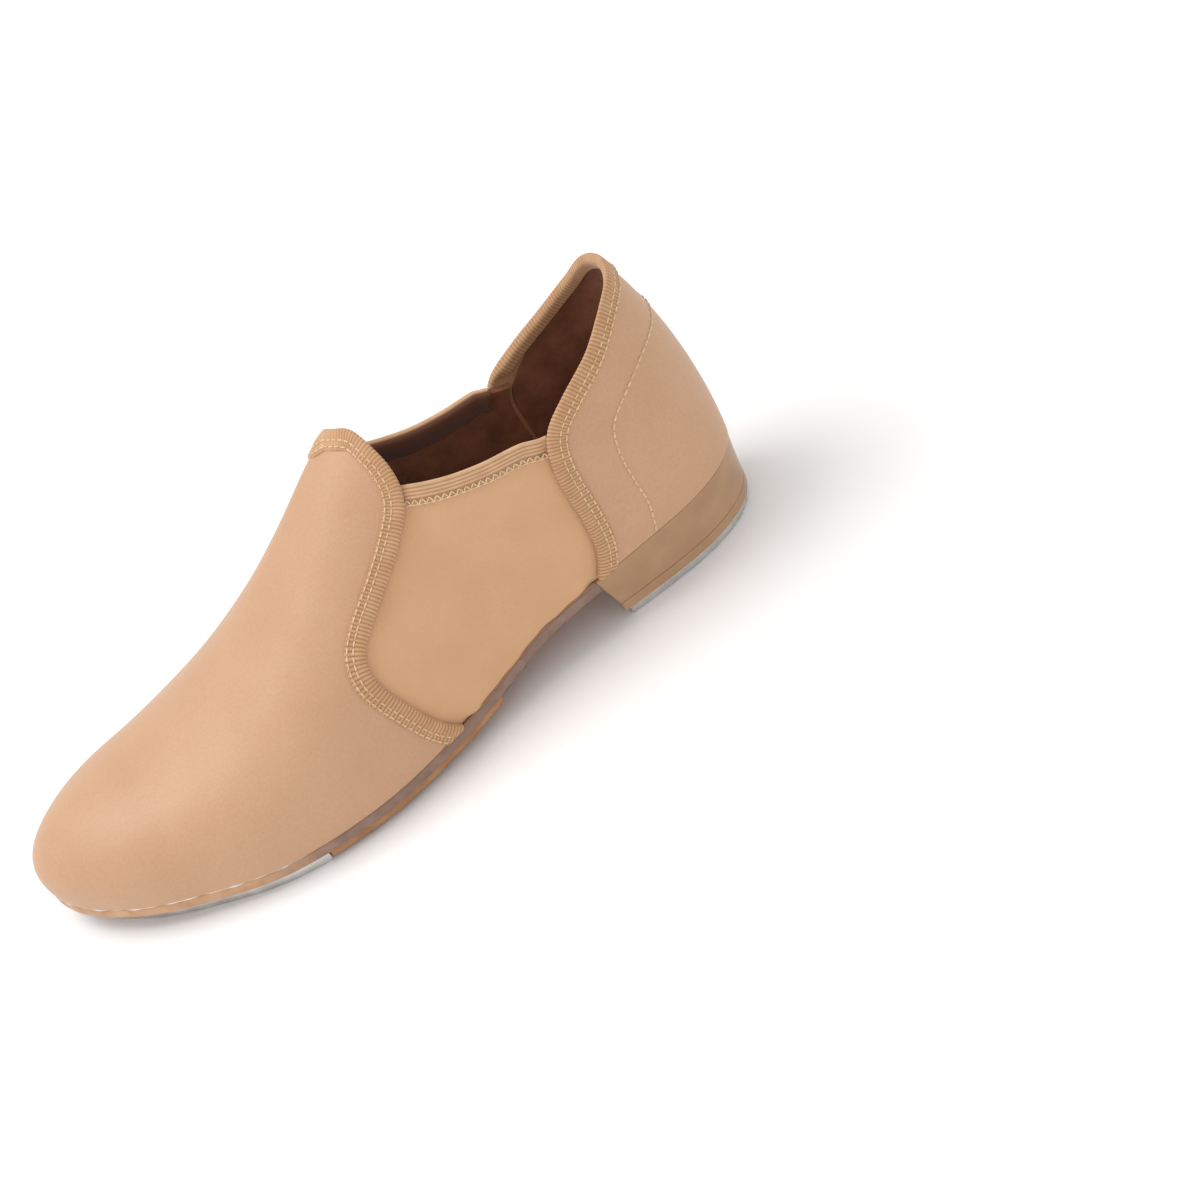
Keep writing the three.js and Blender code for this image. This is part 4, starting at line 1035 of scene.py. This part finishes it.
def heel_plan(inset, lean):
    """Plan of the heel: round the back from one front corner to the other, then the hollow front."""
    corner = BREAST - lean
    turns = np.linspace(turn_at(corner, 1), turn_at(corner, -1) - 1, 221)
    sides = outline(turns, inset + 0 * turns)
    k = np.linspace(0, 1, 61)[1:-1, None]
    front = sides[-1] + (sides[0] - sides[-1]) * k
    front[:, 0] -= BREAST_BOW * (1 - (2 * k[:, 0] - 1) ** 2)
    closed = np.vstack([sides, front, sides[:1]])
    reach = np.concatenate([[0], np.cumsum(np.linalg.norm(np.diff(closed, axis=0), axis=1))])
    even = np.linspace(0, reach[-1], 301)[:-1]
    loop = np.stack([np.interp(even, reach, closed[:, k]) for k in (0, 1)], -1)
    blur = max(1, int(CORNER_ROUND / (reach[-1] / 300)))
    return sum(np.roll(loop, k, axis=0) for k in range(-blur, blur + 1)) / (2 * blur + 1)


def heel_body(levels):
    """Body through plans. Each level is (inset, lean, height), with the height a number or a function."""
    rings = []
    for inset, lean, height in levels:
        plan = heel_plan(inset, lean)
        z = height(plan[:, 0]) if callable(height) else np.full(len(plan), height)
        rings.append(np.concatenate([plan, z[:, None]], 1))
    return sweep(np.stack(rings))


def block_levels():
    """Levels of the heel block, from the seam at the lift up to the seat."""
    levels = [(HEEL_TAPER + 0.3, 3.5, LIFT_TOP + 0.08), (HEEL_TAPER + 0.05, 3.25, LIFT_TOP + 0.3)]
    for part in np.linspace(0.0, 1.0, 13):
        inset = HEEL_TAPER + (0.3 - HEEL_TAPER) * part ** 1.15
        lean = 3.2 * (1 - part) ** 1.1

        def height(x, part=part):
            return (LIFT_TOP + 0.6) * (1 - part) + (seat_height(x) - 0.25) * part
        levels.append((inset, lean, height))
    levels.append((0.55, 0.25, lambda x: seat_height(x) - 0.02))
    return levels


stays(piece("heel_block", heel_body(block_levels()), [satin_lacquer]), "rearfoot", "heel_cover", "heel_block")
lift_levels = [
    (HEEL_TAPER + 0.55, 3.9, LIFT_BOTTOM), (HEEL_TAPER + 0.3, 3.6, LIFT_BOTTOM + 0.25),
    (HEEL_TAPER + 0.05, 3.3, LIFT_TOP - 0.3), (HEEL_TAPER + 0.3, 3.55, LIFT_TOP - 0.05),
]
stays(piece("heel_lift", heel_body(lift_levels), [satin_lacquer]), "rearfoot", "heel_cover", "heel_lift")

# ------------------------------------------------------------------ taps
# Cast aluminium plates under the toe and the heel, with a brushed face and a rough, filed edge. Three
# countersunk screws hold each.
TAP = 3.4
SCREW_HEAD = 3.0
TOE_SCREWS = [(189, 35.5), (184, -29), (243, -6)]
HEEL_SCREWS = [(14, 0.5), (46, 16.5), (46, -14.5)]
TAP_INSET = {"sides": 1.4, "nose": 5.5}
PLATE_WEAR = 0.05
PIT = 0.7

# Brushed aluminium: pale grey, with long fine scratches along one way and small casting pits.
tap_metal, tree, shader, where = new_material("brushed_cast_aluminium", 0.36, Metallic=1.0)
grain_lines = put(tree, "VectorMath", {0: where, 1: (0.25, 4.0, 1.0)}, operation="MULTIPLY").outputs[0]
lines = put(tree, "TexNoise", {"Vector": grain_lines, "Scale": 1.0, "Detail": 6.0})
tree.links.new(mottled(tree, where, 7.0, linear("dcdad7"), linear("cbc8c4"), 6.0),
               shader.inputs["Base Color"])
spots = put(tree, "MapRange", {"Value": lines.outputs["Fac"], "From Min": 0.3, "From Max": 0.7,
                               "To Min": 0.3, "To Max": 0.5})
tree.links.new(spots.outputs[0], shader.inputs["Roughness"])
scratches = relief(tree, shader, lines.outputs["Fac"], 0.05, 0.6)
pits = put(tree, "TexNoise", {"Vector": where, "Scale": 1 / PIT, "Detail": 4.0})
relief(tree, shader, pits.outputs["Fac"], 0.08, 0.5, under=scratches)


def plate(plan, screws):
    """Plate with worn bevels and countersunk holes, from an anticlockwise or clockwise plan."""
    middle = plan.mean(0)
    near = np.roll(plan, 1, 0) - np.roll(plan, -1, 0)
    near /= np.linalg.norm(near, axis=1, keepdims=True)
    inwards = np.stack([near[:, 1], -near[:, 0]], 1)
    inwards *= np.sign((inwards * (middle - plan)).sum(1).mean())
    wear = np.random.default_rng(7).normal(0, PLATE_WEAR, (6, len(plan)))
    wear = sum(np.roll(wear, k, 1) for k in (-1, 0, 1)) / 3
    levels = [(0.55, 0.0), (0.15, 0.22), (0.0, 0.6), (0.05, TAP - 0.7), (0.15, TAP - 0.25), (0.5, TAP)]
    loops = []
    for k, (inset, height) in enumerate(levels):
        ring = plan + inwards * (inset + wear[k] * (0.2 if height in (0.0, TAP) else 1.0))[:, None]
        loops.append(np.concatenate([ring, np.full((len(ring), 1), height)], 1))
    angles = np.linspace(0, 2 * np.pi, 40, endpoint=False)
    around = np.stack([np.cos(angles), np.sin(angles)], 1)
    holes = [[np.concatenate([np.array(at) + around * radius, np.full((40, 1), height)], 1)
              for radius, height in ((3.55, 0.0), (3.3, 0.2), (3.3, 0.5), (1.75, 2.15), (1.75, TAP))]
             for at in screws]
    bodies = []
    for cap in (0, -1):
        rims = [loops[cap], *(hole[cap] for hole in holes)]
        points = np.vstack(rims)
        faces = tessellate_polygon([[Vector(p) for p in rim] for rim in rims])
        bodies.append((points, [list(face) for face in faces]))
    for stack in (loops, *holes):
        points, faces = sweep(np.stack(stack))
        bodies.append((points, faces[:-2]))
    return joined(bodies)


def toe_tap_plan():
    """Plan of the toe tap: round the toe inside the sole's edge, then the hollow rear edge."""
    turns = np.linspace(turn_at(TAP_BACK, -1), turn_at(TAP_BACK, 1), 261)
    nose = smooth(outline(turns)[:, 0], TAP_BACK, TIP_X)
    sides = outline(turns, TAP_INSET["sides"] + (TAP_INSET["nose"] - TAP_INSET["sides"]) * nose)
    q = 1 - np.linspace(0, 1, 81)[1:-1]
    rear = sides[0] + (sides[-1] - sides[0]) * q[:, None]
    rear[:, 0] -= TAP_BOW * (1 - (2 * q - 1) ** 2)
    return np.vstack([sides, rear])


stays(piece("toe_tap", plate(toe_tap_plan(), TOE_SCREWS), [tap_metal], 30), "forefoot", "tap_aluminium",
      "toe_tap")
stays(piece("heel_tap", plate(heel_plan(HEEL_TAPER + 1.8, 5.0), HEEL_SCREWS), [tap_metal], 30),
      "rearfoot", "tap_aluminium", "heel_tap")

# ------------------------------------------------------------------ screws and nails
# Six countersunk steel screws with a cross recess hold the taps. Inside are a steel strip in the waist
# and four nails up into the heel block.
RECESS_TURN = 0.4
TURNING = 0.4

# Zinc plate: bright and slightly warm, with the fine rings left by turning.
screw_steel, tree, shader, where = new_material("zinc_plated_steel", 0.28, Metallic=1.0)
tree.links.new(mottled(tree, where, 1.5, linear("d6d1cb"), linear("bdb7ae"), 5.0),
               shader.inputs["Base Color"])
turning = put(tree, "TexNoise", {"Vector": where, "Scale": 1 / TURNING, "Detail": 4.0})
relief(tree, shader, turning.outputs["Fac"], 0.04, 0.5)


def screw(at):
    """Screw with its head down: a dished head with a cross, a cone and a shaft."""
    radii = np.concatenate([np.linspace(0.02, 2.0, 26), np.linspace(2.1, SCREW_HEAD - 0.15, 8)])
    angles = np.linspace(0, 2 * np.pi, 96, endpoint=False)
    rings = []
    for radius in radii:
        x, y = radius * np.cos(angles + RECESS_TURN), radius * np.sin(angles + RECESS_TURN)
        arms = [np.clip((0.42 * (1.25 - 0.25 * np.abs(a)) - np.abs(b)) / 0.14, 0, 1)
                * np.clip((1.75 - np.abs(a)) / 0.25, 0, 1) for a, b in ((x, y), (y, x))]
        depth = np.maximum(*arms) * (1.2 - 0.35 * radius)
        rings.append(np.stack([radius * np.cos(angles), radius * np.sin(angles), 0.15 + depth], 1))
    for radius, height in ((SCREW_HEAD, 0.28), (SCREW_HEAD, 0.45), (1.4, 2.15), (1.4, 8.2), (0.3, 9.4)):
        rings.append(np.stack([radius * np.cos(angles), radius * np.sin(angles), height + 0 * angles], 1))
    return sweep(np.stack(rings) + np.array([at[0], at[1], 0.0]))


for group, body, places in (("toe_tap_screw_", "forefoot", TOE_SCREWS),
                            ("heel_tap_screw_", "rearfoot", HEEL_SCREWS)):
    for k, at in enumerate(places, 1):
        stays(piece(f"{group}{k}", screw(at), [screw_steel], 40), body, "screw_steel", f"{group}{k}")

MILL_GRAIN = 1.0

# Cold rolled steel: dark grey and oiled, with a fine mill finish.
hard_steel, tree, shader, where = new_material("cold_rolled_steel", 0.4, Metallic=1.0)
tree.links.new(mottled(tree, where, 3.0, linear("8c8c8c"), linear("777573"), 5.0),
               shader.inputs["Base Color"])
rolled = put(tree, "TexNoise", {"Vector": where, "Scale": 1 / MILL_GRAIN, "Detail": 5.0})
relief(tree, shader, rolled.outputs["Fac"], 0.03)
for name in ("shank", "heel_nail_1", "heel_nail_2", "heel_nail_3", "heel_nail_4"):
    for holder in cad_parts[name].material_slots:
        holder.material = hard_steel

# ------------------------------------------------------------------ studio
# A plain white floor and world, one big soft lamp over the toe, and a weaker one beside the camera.
# The floor lies a little under the taps, so that it doesn't touch them.
FLOOR_HALF = 6000.0
FLOOR_DROP = 0.15

# Matt wall paint: white, without gloss.
floor_paint, tree, shader, where = new_material("matt_white_floor", 0.9, **{"Specular IOR Level": 0.1})
tree.links.new(mottled(tree, where, 300.0, linear("fbfbfb"), linear("f8f8f8")),
               shader.inputs["Base Color"])
corners = np.array([[x * FLOOR_HALF, y * FLOOR_HALF, -FLOOR_DROP]
                    for x, y in ((-1, -1), (1, -1), (1, 1), (-1, 1))])
piece("floor", (corners, [[0, 1, 2, 3]]), [floor_paint])

world = bpy.data.worlds.new("studio")
world.use_nodes = True
world.node_tree.nodes["Background"].inputs["Color"].default_value = linear("ffffff")
world.node_tree.nodes["Background"].inputs["Strength"].default_value = 0.8
bpy.context.scene.world = world
bpy.context.scene.view_settings.view_transform = "Standard"


def lamp(name, direction, distance, size, watts, colour):
    """A square soft lamp that points at the shoe."""
    towards = np.asarray(direction) / np.linalg.norm(direction)
    side = np.cross((0.0, 0.0, 1.0), towards)
    side /= np.linalg.norm(side)
    light = bpy.data.lights.new(name, "AREA")
    light.shape = "SQUARE"
    light.size = size
    light.energy = watts
    light.color = linear(colour)[:3]
    placed(bpy.data.objects.new(name, light), SHOE_MIDDLE + towards * distance,
           (side, np.cross(towards, side), towards))


lamp("key", -0.95 * right + 0.55 * up + 0.5 * back, 1400.0, 0.9, 11.0, "ffffff")
lamp("fill", 0.2 * right + 0.1 * up + 1.0 * back, 1800.0, 1.2, 1.5, "ffffff")
